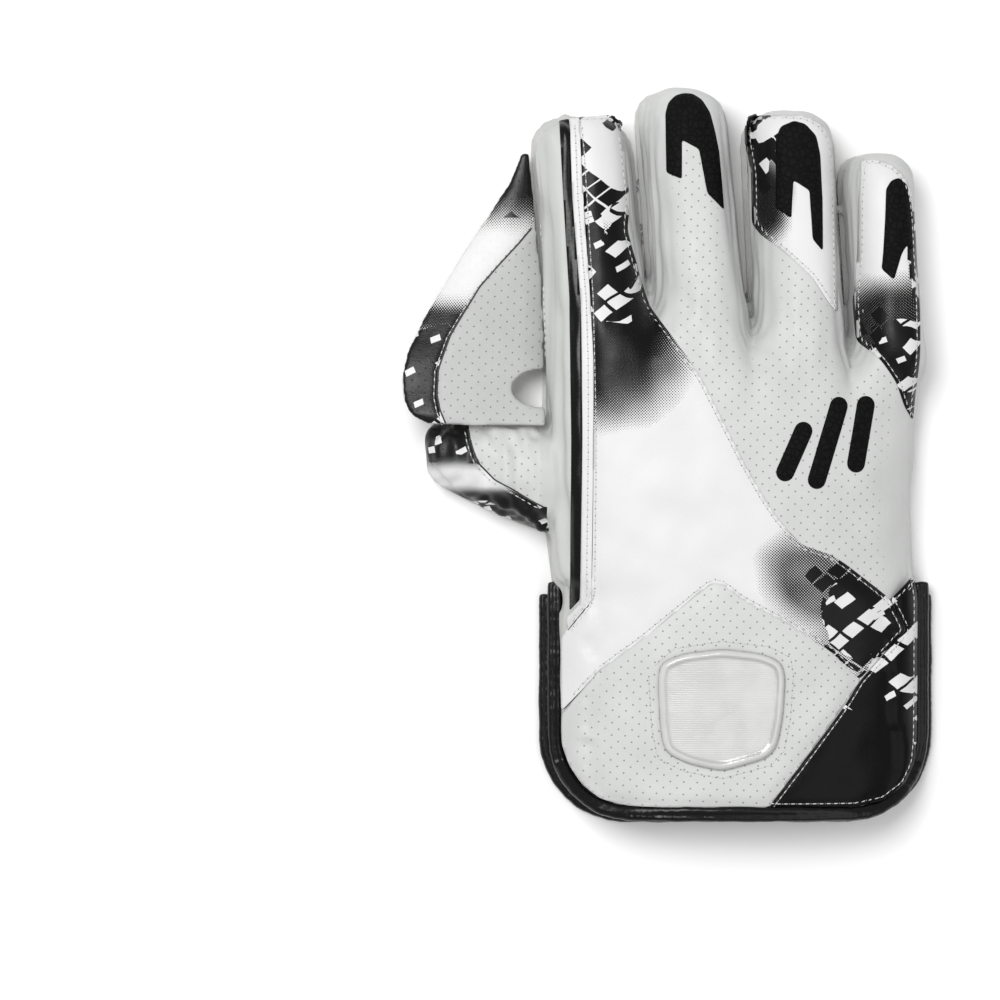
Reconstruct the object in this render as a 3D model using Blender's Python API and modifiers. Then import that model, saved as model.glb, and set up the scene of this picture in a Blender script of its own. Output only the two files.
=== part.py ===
"""Right-hand wicketkeeping glove lying palm down, built as its separate pieces.

+X points to the little finger's side, +Y to the fingertips and +Z up, away from the surface.
The origin is on the surface, under the middle of the glove's box.
"""

import math
from collections import namedtuple

import bmesh
import bpy
from mathutils import Vector
from mathutils.bvhtree import BVHTree

# Driving sizes, in metres.
HAND_WIDTH = 0.178
HAND_CENTRE_X = 0.0320
HAND_HEIGHT = 0.046
WRIST_Y = -0.060
HAND_LENGTH = 0.138
KNUCKLE_SLOPE = 0.245
KNUCKLE_BEND_X = -0.0076
CUFF_LENGTH = 0.1065
CUFF_WIDTH = 0.1705
CUFF_CENTRE_X = 0.0345
CUFF_HEIGHT = 0.036
CUFF_CORNER = 0.032
CUFF_WRIST_SQUARE = 3.2
CUFF_MOUTH_SQUARE = 2.4
CUFF_ARCH_SPREAD = 1.03
CUFF_DROOP = 0.10
FINGER_LENGTH = 0.103
FINGER_WIDTH = 0.0465
FINGER_HEIGHT = 0.038
TIP_LENGTH = 0.016
THUMB_LENGTH = 0.0575
THUMB_WIDTH = 0.054
THUMB_HEIGHT = 0.031
THUMB_Y = -0.0095
WEB_LENGTH = 0.131
WEB_LAP = 0.0025
WEB_REACH = 0.068
WEB_HEIGHT = 0.033
WEB_HOLE_LENGTH = 0.019
WEB_HOLE_REACH = 0.0165
WEB_HOLE_Y = 0.0325
PALM_CUP = 0.006
BINDING_RADIUS = 0.003
BINDING_STEP = 0.004
STRIP_INSET = 0.010
STRIP_WIDTH = 0.0056
PIPING_WIDTH = 0.0044
VENT_WIDTH = 0.0095
BADGE_WIDTH = 0.061
BADGE_LENGTH = 0.057
BADGE_THICKNESS = 0.0034

# Material thicknesses, and the clearances between pieces.
PADDED_WALL = 0.004
LEATHER = 0.002
OVERLAY = 0.0012
RUBBER = 0.003
WEB_RUBBER = 0.0024
CUFF_PAD = 0.0056
GAP = 0.0003
OVERLAY_GAP = 0.0008
SKIRT = 0.002
STALL_GAP = 0.0008

FOOT_Z = RUBBER + GAP
KNUCKLE_Y = WRIST_Y + HAND_LENGTH
MOUTH_Y = WRIST_Y - CUFF_LENGTH
CUFF_EDGE_Z = CUFF_PAD + 2 * GAP + 1.55 * BINDING_RADIUS

# Sections of the hand shell from the wrist to the knuckles. along is a share of HAND_LENGTH from the
# wrist, left and right are shares of HAND_WIDTH from the hand's centre line, crown is the highest
# point's share of the width, height is a share of HAND_HEIGHT, the squareness exponents shape the two
# flanks, and lobes says how far the four finger arches already show.
HandSection = namedtuple("HandSection", "along left right crown height left_square right_square lobes")
HAND_SECTIONS = [
    HandSection(0.000, -0.488, 0.488, 0.46, 0.945, 2.9, 2.4, 0.00),
    HandSection(0.015, -0.488, 0.488, 0.46, 0.945, 2.9, 2.4, 0.00),
    HandSection(0.160, -0.490, 0.482, 0.46, 0.970, 3.2, 2.4, 0.00),
    HandSection(0.330, -0.495, 0.480, 0.45, 1.000, 3.6, 2.5, 0.00),
    HandSection(0.500, -0.500, 0.484, 0.44, 1.000, 3.8, 2.5, 0.00),
    HandSection(0.650, -0.503, 0.490, 0.43, 0.990, 4.0, 2.5, 0.00),
    HandSection(0.780, -0.505, 0.496, 0.42, 0.970, 4.0, 2.5, 0.08),
    HandSection(0.860, -0.506, 0.500, 0.42, 0.950, 4.0, 2.5, 0.26),
    HandSection(0.920, -0.506, 0.502, 0.42, 0.930, 4.0, 2.5, 0.56),
    HandSection(0.960, -0.506, 0.502, 0.42, 0.920, 4.0, 2.5, 0.86),
    HandSection(0.985, -0.506, 0.502, 0.42, 0.910, 4.0, 2.5, 1.00),
    HandSection(1.000, -0.506, 0.502, 0.42, 0.910, 4.0, 2.5, 1.00),
]

# Finger stalls, little finger first. root and tip are the centre's shares of HAND_WIDTH from the hand's
# centre line, length is a share of FINGER_LENGTH, the widths are shares of FINGER_WIDTH and height of
# FINGER_HEIGHT, lean is how far the crown moves over for each unit of height, and the exponents shape
# the two flanks.
FINGER_COLUMNS = "name root tip length root_width tip_width height lean left_square right_square"
Finger = namedtuple("Finger", FINGER_COLUMNS)
FINGERS = [
    Finger("little", 0.4073, 0.378, 0.915, 0.731, 0.760, 0.92, 0.16, 2.4, 2.6),
    Finger("ring", 0.1750, 0.145, 1.012, 0.978, 0.968, 1.00, 0.04, 2.3, 2.5),
    Finger("middle", -0.0944, -0.146, 1.000, 1.006, 0.957, 1.06, 0.06, 2.3, 2.5),
    Finger("index", -0.3691, -0.415, 0.815, 1.050, 1.060, 1.02, 0.00, 3.6, 2.4),
]

# How a stall closes at its tip: along is a share of TIP_LENGTH, width and height scale the section.
TipSection = namedtuple("TipSection", "along width height")
TIP_SECTIONS = [
    TipSection(0.00, 1.000, 1.000),
    TipSection(0.40, 0.960, 0.970),
    TipSection(0.70, 0.850, 0.900),
    TipSection(0.90, 0.690, 0.790),
    TipSection(1.00, 0.480, 0.620),
]

# Thumb stall from its root at the hand's flank: along is a share of THUMB_LENGTH, shift is the centre's
# share of THUMB_WIDTH towards the fingers, and width and height are shares of their named sizes.
ThumbSection = namedtuple("ThumbSection", "along shift width height")
THUMB_SECTIONS = [
    ThumbSection(0.00, 0.000, 1.000, 1.00),
    ThumbSection(0.03, 0.000, 1.000, 1.00),
    ThumbSection(0.25, 0.050, 0.930, 0.98),
    ThumbSection(0.50, 0.120, 0.840, 0.94),
    ThumbSection(0.72, 0.180, 0.730, 0.88),
    ThumbSection(0.86, 0.205, 0.620, 0.80),
    ThumbSection(0.95, 0.215, 0.490, 0.68),
    ThumbSection(1.00, 0.220, 0.330, 0.52),
]

# Web between index finger and thumb, from its top beside the index tip down to the thumb: along is a
# share of WEB_LENGTH, reach is the rim's share of WEB_REACH, and the heights at the seam, the middle and
# the rim are shares of WEB_HEIGHT.
WebSection = namedtuple("WebSection", "along reach seam middle rim")
WEB_SECTIONS = [
    WebSection(0.00, 0.080, 0.36, 0.37, 0.36),
    WebSection(0.12, 0.250, 0.36, 0.39, 0.36),
    WebSection(0.22, 0.385, 0.36, 0.42, 0.37),
    WebSection(0.35, 0.550, 0.37, 0.48, 0.41),
    WebSection(0.48, 0.700, 0.38, 0.55, 0.49),
    WebSection(0.60, 0.840, 0.40, 0.64, 0.60),
    WebSection(0.72, 0.950, 0.45, 0.74, 0.72),
    WebSection(0.83, 1.000, 0.58, 0.85, 0.82),
    WebSection(0.91, 0.985, 0.74, 0.94, 0.89),
    WebSection(0.96, 0.930, 0.86, 0.99, 0.94),
    WebSection(1.00, 0.800, 0.92, 1.00, 0.96),
]

# Flat outlines of the panels sewn on the cuff and hand, as shares of CUFF_WIDTH across and CUFF_LENGTH
# along, from the middle of the wrist line. Negative runs to the thumb side and to the cuff's mouth.
SHIELD_OUTLINE = [
    (-0.455, -0.500), (-0.030, 0.015), (0.000, 0.026), (0.040, 0.005),
    (0.355, -0.345), (0.366, -0.385), (0.350, -0.420), (0.110, -0.925), (-0.180, -0.930),
    (-0.340, -0.855), (-0.440, -0.680), (-0.465, -0.560),
]
CORNER_OUTLINE = [
    (0.155, -0.925), (0.385, -0.445), (0.410, -0.375), (0.400, -0.320), (0.475, -0.060),
    (0.478, -0.550), (0.450, -0.720), (0.385, -0.830), (0.300, -0.900),
]
# The raised badge, as shares of BADGE_WIDTH and BADGE_LENGTH from its middle.
BADGE_OUTLINE = [
    (-0.46, 0.39), (-0.25, 0.475), (0.05, 0.50), (0.30, 0.475), (0.47, 0.40), (0.50, 0.27),
    (0.47, -0.10), (0.44, -0.25), (0.36, -0.34), (0.18, -0.44), (0.00, -0.50), (-0.18, -0.45),
    (-0.40, -0.33), (-0.46, -0.20), (-0.485, 0.10), (-0.50, 0.30),
]
BADGE_CENTRE = (-0.058, -0.555)
# The black inset on a fingertip's back, as shares of the pad's width and length from its middle.
PAD_OUTLINE = [
    (-0.50, -0.18), (-0.50, 0.22), (-0.42, 0.38), (-0.25, 0.47), (-0.05, 0.50), (0.13, 0.46),
    (0.28, 0.36), (0.38, 0.20), (0.50, -0.50), (0.18, -0.40), (0.08, -0.05), (0.00, 0.00),
    (-0.18, 0.06), (-0.20, -0.27),
]
# Each finger's pad: width and length as shares of FINGER_WIDTH and FINGER_LENGTH, and how far its far
# end lies behind the fingertip, as a share of FINGER_LENGTH.
Pad = namedtuple("Pad", "finger width length inset")
PADS = [
    Pad("little", 0.400, 0.47, 0.085),
    Pad("ring", 0.480, 0.58, 0.060),
    Pad("middle", 0.520, 0.56, 0.035),
]
# Round-ended vent slots on the back of the hand: centre as shares of HAND_WIDTH and HAND_LENGTH from
# the wrist's middle, length as a share of HAND_LENGTH, and the turn of the long axis in degrees.
Vent = namedtuple("Vent", "name across along length turn")
VENTS = [
    Vent("vent_inner", 0.150, 0.450, 0.220, 24.0),
    Vent("vent_middle", 0.240, 0.480, 0.330, 17.0),
    Vent("vent_outer", 0.330, 0.510, 0.270, 10.0),
]

ARCH_STEPS = 9
CUFF_STEPS = 18
CUFF_ROWS = 7
OVERLAY_STEP = 0.0095
PALM_STEP = 0.022


def clear_scene():
    """Removes what the scene starts with."""
    for obj in list(bpy.data.objects):
        bpy.data.objects.remove(obj, do_unlink=True)


def make_collection(name, hidden=False):
    """A collection of that name in the scene; a hidden one holds the cutters."""
    collection = bpy.data.collections.new(name)
    collection.hide_render = hidden
    bpy.context.scene.collection.children.link(collection)
    return collection


def make_material(name, colour, roughness, metallic=0.0):
    """A plain Principled material."""
    material = bpy.data.materials.new(name)
    material.use_nodes = True
    shader = material.node_tree.nodes["Principled BSDF"]
    shader.inputs["Base Color"].default_value = (*colour, 1.0)
    shader.inputs["Roughness"].default_value = roughness
    shader.inputs["Metallic"].default_value = metallic
    return material


def add_object(name, mesh, material, collection):
    """Links a mesh as a named object with its material."""
    obj = bpy.data.objects.new(name, mesh)
    mesh.materials.append(material)
    collection.objects.link(obj)
    return obj


def add_solidify(obj, thickness, offset=-1.0):
    """Gives an open surface its wall; an offset of -1 puts the wall under the surface."""
    wall = obj.modifiers.new("wall", "SOLIDIFY")
    wall.thickness = thickness
    wall.offset = offset
    wall.use_even_offset = False
    return wall


def mix(a, b, share):
    """The number or vector that share of the way from a to b."""
    return a + (b - a) * share


def table_value(rows, column, along):
    """A column of a table of sections, read at any place along it."""
    for low, high in zip(rows, rows[1:]):
        if along <= high.along:
            share = (along - low.along) / max(high.along - low.along, 1e-9)
            return mix(getattr(low, column), getattr(high, column), max(share, 0.0))
    return getattr(rows[-1], column)


def arch_point(angle, left, right, crown, height, left_square, right_square):
    """A point of an upright arch: angle runs from 0 at the right foot to pi at the left foot."""
    middle = mix(left, right, crown)
    reach, square = (right - middle, right_square) if math.cos(angle) >= 0 else (middle - left, left_square)
    across = abs(math.cos(angle)) ** (2 / square)
    up = max(math.sin(angle), 0.0) ** (2 / square)
    return middle + math.copysign(reach * across, math.cos(angle)), height * up


def arch_height(x, left, right, crown, height, left_square, right_square):
    """The same arch's height at a place across it."""
    middle = mix(left, right, crown)
    reach, square = (right - middle, right_square) if x >= middle else (middle - left, left_square)
    across = min(abs(x - middle) / reach, 1.0)
    return height * (1 - across**square) ** (1 / square)


def arch_angles(steps):
    """Angles of an arch's points, from the right foot to the left one."""
    return [math.pi * i / steps for i in range(steps + 1)]


def skirted(points):
    """An arch's points, height last, with a short upright skirt under each foot."""
    raised = [(*place, z + SKIRT) for *place, z in points]
    return [points[0], *raised, points[-1]]


def grid_mesh(name, rows, cap_last=False):
    """A surface through rows of points, with the last row closed by a face if asked."""
    bm = bmesh.new()
    made = [[bm.verts.new(p) for p in row] for row in rows]
    for near, far in zip(made, made[1:]):
        for i in range(len(near) - 1):
            bm.faces.new((near[i], far[i], far[i + 1], near[i + 1]))
    if cap_last:
        bm.faces.new(made[-1][::-1])
    mesh = bpy.data.meshes.new(name)
    bm.to_mesh(mesh)
    bm.free()
    return mesh


def shade(obj):
    """Smooth shading with sharp edges kept."""
    obj.data.shade_smooth()
    obj.data.set_sharp_from_angle(angle=math.radians(40))


def finger_frame(finger, along):
    """Centre x, half width and height of a stall at that share of its length."""
    x = HAND_CENTRE_X + HAND_WIDTH * mix(finger.root, finger.tip, along)
    half = FINGER_WIDTH / 2 * mix(finger.root_width, finger.tip_width, along)
    height = FINGER_HEIGHT * finger.height * mix(1.0, 0.90, along)
    return x, half, height


def knuckle_y(x):
    """The line where the hand ends and the fingers start: it falls back towards the little finger."""
    return KNUCKLE_Y - KNUCKLE_SLOPE * max(x - KNUCKLE_BEND_X, 0.0)


def finger_root_y(finger):
    """Where the middle of a stall starts, on the knuckle line."""
    return knuckle_y(HAND_CENTRE_X + HAND_WIDTH * finger.root)


def finger_arch(finger, along, width=1.0, height=1.0):
    """The (x, z) points of a stall's arch before it leans, measured from the palm sheet."""
    x, half, full = finger_frame(finger, along)
    points = []
    for angle in arch_angles(ARCH_STEPS):
        px, pz = arch_point(
            angle, -half * width, half * width, 0.5, full * height - SKIRT,
            finger.left_square, finger.right_square,
        )
        points.append((x + px, pz))
    return points


def finger_section(finger, along, width=1.0, height=1.0):
    """The (x, z) points of a stall's leaning arch, standing on the palm sheet."""
    return skirted([(x + finger.lean * z, FOOT_Z + z) for x, z in finger_arch(finger, along, width, height)])


def finger_length(finger):
    """A stall's length from root to tip."""
    return FINGER_LENGTH * finger.length


def build_stall(finger, material, collection):
    """An upside-down trough with a rounded closed tip: back and side leather of one finger."""
    root, length = finger_root_y(finger), finger_length(finger)
    straight = 1 - TIP_LENGTH / length
    rows = []
    for along in (0.0, 0.02, 0.25, 0.5, 0.75):
        rows.append((along * straight, 1.0, 1.0))
    for tip in TIP_SECTIONS:
        rows.append((straight + tip.along * (1 - straight), tip.width, tip.height))
    surface = []
    for along, width, height in rows:
        skew = max(1 - along / straight, 0.0)
        row = []
        for x, z in finger_section(finger, along, width, height):
            start = (knuckle_y(x) + STALL_GAP - root) * skew
            row.append((x, root + start + length * along, z))
        surface.append(row)
    mesh = grid_mesh(finger.name + "_stall", surface, cap_last=True)
    obj = add_object(finger.name + "_stall", mesh, material, collection)
    add_solidify(obj, PADDED_WALL)
    shade(obj)
    return obj


def hand_row(section):
    """One row of the hand shell: a smooth arch that turns into the four finger arches."""
    left = HAND_CENTRE_X + HAND_WIDTH * section.left
    right = HAND_CENTRE_X + HAND_WIDTH * section.right
    lobed = [(*point, finger.lean) for finger in FINGERS for point in finger_arch(finger, 0.0)]
    front_right, front_left = lobed[0][0], lobed[-1][0]
    row = []
    for i, (lobe_x, lobe_z, lean) in enumerate(lobed):
        x = mix(left, right, (lobe_x - front_left) / (front_right - front_left))
        z = arch_height(
            x, left, right, section.crown, HAND_HEIGHT * section.height - SKIRT,
            section.left_square, section.right_square,
        )
        x += lean * lobe_z * section.lobes
        y = mix(WRIST_Y, knuckle_y(lobe_x + lean * lobe_z), section.along)
        if 0 < i < len(lobed) - 1:
            lobe_z = max(lobe_z, PADDED_WALL)
        row.append((x, y, FOOT_Z + mix(z, lobe_z, section.lobes)))
    return skirted(row)


def build_hand(material, collection, cutters):
    """The padded leather over the back of the hand, open below, at the wrist and into each stall."""
    mesh = grid_mesh("hand_back", [hand_row(section) for section in HAND_SECTIONS])
    obj = add_object("hand_back", mesh, material, collection)
    add_solidify(obj, PADDED_WALL)
    cut = obj.modifiers.new("thumb_opening", "BOOLEAN")
    cut.object = build_thumb_cutter(material, cutters)
    shade(obj)
    return obj


def hand_left(along):
    """The x of the hand's left foot at a share of HAND_LENGTH from the wrist."""
    return HAND_CENTRE_X + HAND_WIDTH * table_value(HAND_SECTIONS, "left", along)


def thumb_x(y, along):
    """The thumb starts just outside the hand's flank and runs away from it."""
    return hand_left((y - WRIST_Y) / HAND_LENGTH) - STALL_GAP - THUMB_LENGTH * along


def thumb_section(section, wall=0.0):
    """The (y, z) points of the thumb's arch, or of its hollow if a wall is given."""
    centre = THUMB_Y + THUMB_WIDTH * section.shift
    half = THUMB_WIDTH / 2 * section.width - wall
    top = THUMB_HEIGHT * section.height - SKIRT - wall
    points = []
    for angle in arch_angles(ARCH_STEPS):
        y, z = arch_point(angle, -half, half, 0.5, top, 2.3, 2.3)
        points.append((centre + y, FOOT_Z + z))
    return skirted(points)


def build_thumb(material, collection):
    """The thumb's stall: an upside-down trough that runs out sideways from the hand's flank."""
    rows = [[(thumb_x(y, s.along), y, z) for y, z in thumb_section(s)] for s in THUMB_SECTIONS]
    mesh = grid_mesh("thumb_stall", rows, cap_last=True)
    obj = add_object("thumb_stall", mesh, material, collection)
    add_solidify(obj, PADDED_WALL)
    shade(obj)
    return obj


def build_thumb_cutter(material, cutters):
    """The thumb's hollow carried through the hand's flank, to open one into the other."""
    outline = thumb_section(THUMB_SECTIONS[0], wall=PADDED_WALL)
    deep = thumb_x(THUMB_Y, 0.0) + 4 * PADDED_WALL
    shallow = thumb_x(THUMB_Y, 0.0) - PADDED_WALL
    low = FOOT_Z - SKIRT
    feet_down = [(outline[0][0], low), *outline[1:-1], (outline[-1][0], low)]
    rows = [[(x, y, z) for y, z in feet_down] for x in (deep, shallow)]
    bm = bmesh.new()
    made = [[bm.verts.new(p) for p in row] for row in rows]
    count = len(made[0])
    for i in range(count):
        j = (i + 1) % count
        bm.faces.new((made[0][i], made[1][i], made[1][j], made[0][j]))
    for ring in made:
        bm.faces.new(ring)
    bmesh.ops.recalc_face_normals(bm, faces=bm.faces)
    mesh = bpy.data.meshes.new("thumb_opening")
    bm.to_mesh(mesh)
    bm.free()
    cutter = add_object("thumb_opening", mesh, material, cutters)
    cutter.hide_render = True
    cutter.display_type = "WIRE"
    return cutter


def rounded_half_width(y, half, mouth_y, corner):
    """Half the width of a panel at y, where its two corners at mouth_y are rounded."""
    depth = mouth_y + corner - y
    if depth <= 0:
        return half
    return half - corner + math.sqrt(max(corner**2 - min(depth, corner) ** 2, 0.0))


def cuff_height_at(x, y, edge=CUFF_EDGE_Z):
    """Height of the cuff's back over the floor: a flat arch, highest over the middle."""
    open_share = max(WRIST_Y - y, 0.0) / CUFF_LENGTH
    square = mix(CUFF_WRIST_SQUARE, CUFF_MOUTH_SQUARE, open_share)
    across = min(abs(x - CUFF_CENTRE_X) / (CUFF_WIDTH / 2) / CUFF_ARCH_SPREAD, 1.0)
    rise = (1 - across**square) ** (1 / square)
    at_edge = (1 - CUFF_ARCH_SPREAD**-square) ** (1 / square)
    droop = 1 - CUFF_DROOP * open_share
    return edge + CUFF_HEIGHT * droop * (rise - at_edge) / (1 - at_edge)


def cuff_rows_y():
    """The cuff's rows: even along its straight sides and closer round its corners."""
    straight = [mix(WRIST_Y - GAP, MOUTH_Y + CUFF_CORNER, i / (CUFF_ROWS - 3)) for i in range(CUFF_ROWS - 2)]
    round_rows = [MOUTH_Y + CUFF_CORNER * (1 - math.sin(math.radians(a))) for a in (20, 38, 55, 70, 82, 90)]
    return straight + round_rows


def build_cuff_back(material, collection):
    """The padded back of the cuff, arched over the wrist, with two rounded corners at its mouth."""
    rows = []
    for y in reversed(cuff_rows_y()):
        half = rounded_half_width(y, CUFF_WIDTH / 2, MOUTH_Y, CUFF_CORNER)
        row = []
        for i in range(CUFF_STEPS + 1):
            x = CUFF_CENTRE_X + half * math.cos(math.pi * i / CUFF_STEPS)
            row.append((x, y, cuff_height_at(x, y)))
        rows.append(row)
    obj = add_object("cuff_back", grid_mesh("cuff_back", rows), material, collection)
    add_solidify(obj, PADDED_WALL)
    shade(obj)
    return obj


def cuff_outline(grow, start_y):
    """The cuff's edge in plan, grown outwards, from its right side round the mouth to its left side."""
    half = CUFF_WIDTH / 2 + grow
    corner = CUFF_CORNER + grow
    mouth = MOUTH_Y - grow
    points = [(half, mix(start_y, mouth + corner, i / 5)) for i in range(5)]
    for i in range(9):
        a = math.radians(90 * i / 8)
        points.append((half - corner + corner * math.cos(a), mouth + corner - corner * math.sin(a)))
    middle = [(mix(half - corner, 0.0, i / 4), mouth) for i in range(1, 4)]
    right = points + middle
    return [(CUFF_CENTRE_X + x, y) for x, y in right] + [
        (CUFF_CENTRE_X - x, y) for x, y in reversed([*right, (0.0, mouth)])
    ]


def binding_curve(name, points, material, collection):
    """A round leather binding along a line of points."""
    curve = bpy.data.curves.new(name, "CURVE")
    curve.dimensions = "3D"
    curve.bevel_depth = BINDING_RADIUS
    curve.bevel_resolution = 2
    curve.use_fill_caps = True
    spline = curve.splines.new("POLY")
    spline.points.add(len(points) - 1)
    for point, place in zip(spline.points, points):
        point.co = (*place, 1.0)
    obj = bpy.data.objects.new(name, curve)
    curve.materials.append(material)
    collection.objects.link(obj)
    return obj


def build_bindings(material, collection):
    """The black bindings round the edges of the cuff's back and of its palm side."""
    out = BINDING_RADIUS + GAP
    back = []
    for x, y in cuff_outline(out, WRIST_Y):
        back.append((x, y, cuff_height_at(x, y) - PADDED_WALL / 2))
    back = [(x, y, max(z, CUFF_PAD + GAP + BINDING_RADIUS)) for x, y, z in back]
    binding_curve("cuff_back_binding", back, material, collection)
    palm = [
        (x - BINDING_STEP / 4, y, BINDING_RADIUS)
        for x, y in cuff_outline(BINDING_STEP * 0.75 + out, WRIST_Y - 2 * BINDING_RADIUS)
    ]
    binding_curve("cuff_palm_binding", palm, material, collection)


def outline_face(points, z=0.0):
    """A bmesh with one flat face inside an outline."""
    bm = bmesh.new()
    face = bm.faces.new([bm.verts.new((x, y, z)) for x, y in points])
    face.normal_update()
    if face.normal.z < 0:
        face.normal_flip()
    return bm


def slice_in_squares(bm, step):
    """Cuts a flat face along evenly spaced lines, so that it can be bent."""
    for axis in (0, 1):
        low = min(v.co[axis] for v in bm.verts)
        high = max(v.co[axis] for v in bm.verts)
        count = max(1, math.ceil((high - low) / step))
        for i in range(1, count):
            place, normal = [0.0, 0.0, 0.0], [0.0, 0.0, 0.0]
            place[axis] = mix(low, high, i / count)
            normal[axis] = 1.0
            bmesh.ops.bisect_plane(
                bm, geom=bm.verts[:] + bm.edges[:] + bm.faces[:], dist=1e-6,
                plane_co=place, plane_no=normal,
            )


def smooth_outline(points):
    """The outline with each of its corners cut off once."""
    cut = []
    for a, b in zip(points, points[1:] + points[:1]):
        cut.append((mix(a[0], b[0], 0.25), mix(a[1], b[1], 0.25)))
        cut.append((mix(a[0], b[0], 0.75), mix(a[1], b[1], 0.75)))
    return cut


def base_tree(objects):
    """One search tree over the evaluated meshes of these objects."""
    graph = bpy.context.evaluated_depsgraph_get()
    points, faces = [], []
    for obj in objects:
        evaluated = obj.evaluated_get(graph)
        mesh = evaluated.to_mesh()
        start = len(points)
        points += [evaluated.matrix_world @ v.co for v in mesh.vertices]
        faces += [[start + i for i in polygon.vertices] for polygon in mesh.polygons]
        evaluated.to_mesh_clear()
    return BVHTree.FromPolygons(points, faces)


def surface_height(tree, x, y):
    """Height of the highest surface over a place on the floor, or just beside it over a gap."""
    beside = 4 * STALL_GAP
    for dx, dy in ((0, 0), (0, beside), (0, -beside), (beside, 0), (-beside, 0)):
        hit = tree.ray_cast(Vector((x + dx, y + dy, 2 * HAND_HEIGHT)), Vector((0.0, 0.0, -1.0)))[0]
        if hit and hit.z > FOOT_Z:
            return hit.z
    return 0.0


def drape(bm, tree, lift):
    """Lays a flat sheet on the surface under it, with every part of every face clear by lift."""
    for vert in bm.verts:
        vert.co.z = surface_height(tree, vert.co.x, vert.co.y) + lift
    bmesh.ops.triangulate(bm, faces=bm.faces)
    shares = [(i / 6, j / 6, (6 - i - j) / 6) for i in range(7) for j in range(7 - i)]
    for _ in range(3):
        for face in bm.faces:
            corners = [v.co for v in face.verts]
            for weights in shares:
                spot = sum((corner * weight for corner, weight in zip(corners, weights)), Vector())
                sunk = surface_height(tree, spot.x, spot.y) + lift - spot.z
                if sunk > 0.0:
                    total = sum(weight * weight for weight in weights)
                    for corner, weight in zip(corners, weights):
                        corner.z += sunk * weight / total


def build_overlay(name, outline, tree, material, collection, thickness=OVERLAY, lift=OVERLAY_GAP):
    """A thin piece that lies on the pieces under it, with the outline given in plan."""
    bm = outline_face(outline)
    slice_in_squares(bm, OVERLAY_STEP)
    drape(bm, tree, lift)
    grown = bmesh.ops.extrude_face_region(bm, geom=bm.faces[:], use_keep_orig=True)
    raised = [part for part in grown["geom"] if isinstance(part, bmesh.types.BMVert)]
    bmesh.ops.translate(bm, vec=(0.0, 0.0, thickness), verts=raised)
    bmesh.ops.recalc_face_normals(bm, faces=bm.faces)
    mesh = bpy.data.meshes.new(name)
    bm.to_mesh(mesh)
    bm.free()
    obj = add_object(name, mesh, material, collection)
    shade(obj)
    return obj


def on_cuff(outline):
    """An outline given as shares of the cuff's width and length, in metres."""
    return [(CUFF_CENTRE_X + CUFF_WIDTH * x, WRIST_Y + CUFF_LENGTH * y) for x, y in outline]


def badge_outline():
    """The plan of the badge, over the middle of the shield panel."""
    (centre_x, centre_y), = on_cuff([BADGE_CENTRE])
    outline = smooth_outline(BADGE_OUTLINE)
    return [(centre_x + BADGE_WIDTH * x, centre_y + BADGE_LENGTH * y) for x, y in outline]


def pad_outline(pad):
    """The plan of one fingertip's black inset, on the crown of its stall."""
    finger = next(f for f in FINGERS if f.name == pad.finger)
    width, length = FINGER_WIDTH * pad.width, FINGER_LENGTH * pad.length
    tip_y = finger_root_y(finger) + finger_length(finger) - FINGER_LENGTH * pad.inset
    points = []
    for x, y in smooth_outline(PAD_OUTLINE):
        py = tip_y - length / 2 + length * y
        along = (py - finger_root_y(finger)) / finger_length(finger)
        cx, _, height = finger_frame(finger, along)
        points.append((cx + finger.lean * height + width * x, py))
    return points


def vent_outline(vent):
    """The plan of one vent: a slot with two half-round ends."""
    length, width = HAND_LENGTH * vent.length, VENT_WIDTH
    cx = HAND_CENTRE_X + HAND_WIDTH * vent.across
    cy = WRIST_Y + HAND_LENGTH * vent.along
    turn = math.radians(vent.turn)
    points = []
    steps = 5
    for end in (1, -1):
        for i in range(steps + 1):
            a = math.pi * i / steps
            across = end * width / 2 * math.cos(a)
            along = end * ((length - width) / 2 + width / 2 * math.sin(a))
            points.append((
                cx + across * math.cos(turn) + along * math.sin(turn),
                cy - across * math.sin(turn) + along * math.cos(turn),
            ))
    return points


def strip_line(offset):
    """The line of the side strip, that far right of the hand's left edge, from fingertip to cuff."""
    index = FINGERS[-1]
    top = finger_root_y(index) + finger_length(index) - TIP_LENGTH * 0.55
    bottom = WRIST_Y - CUFF_LENGTH * 0.115
    steps = 22
    line = []
    for i in range(steps + 1):
        y = mix(top, bottom, i / steps)
        if y > KNUCKLE_Y:
            along = (y - KNUCKLE_Y) / finger_length(index)
            x, half, _ = finger_frame(index, along)
            left = x - half
        else:
            left = hand_left(max(y - WRIST_Y, 0.0) / HAND_LENGTH)
        line.append((left + offset, y))
    return line


def band_outline(offset, width):
    """A band of even width along the side strip's line."""
    left = strip_line(offset)
    right = strip_line(offset + width)
    return left + right[::-1]


def palm_outline():
    """The palm sheet's edge: wrist, thumb, then up one side and down the other of each finger."""
    points = [(hand_left(0.0), WRIST_Y)]
    low_side, high_side = [], []
    for section in THUMB_SECTIONS:
        middle = THUMB_Y + THUMB_WIDTH * section.shift
        half = THUMB_WIDTH / 2 * section.width
        low_side.append((thumb_x(middle - half, section.along), middle - half))
        high_side.append((thumb_x(middle + half, section.along), middle + half))
    points += low_side[1:] + high_side[:0:-1]
    for finger in reversed(FINGERS):
        points += finger_plan(finger)
    for along in (0.5, 0.2, 0.0):
        right = HAND_CENTRE_X + HAND_WIDTH * table_value(HAND_SECTIONS, "right", along)
        points.append((right, WRIST_Y + HAND_LENGTH * along))
    return points


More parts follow.
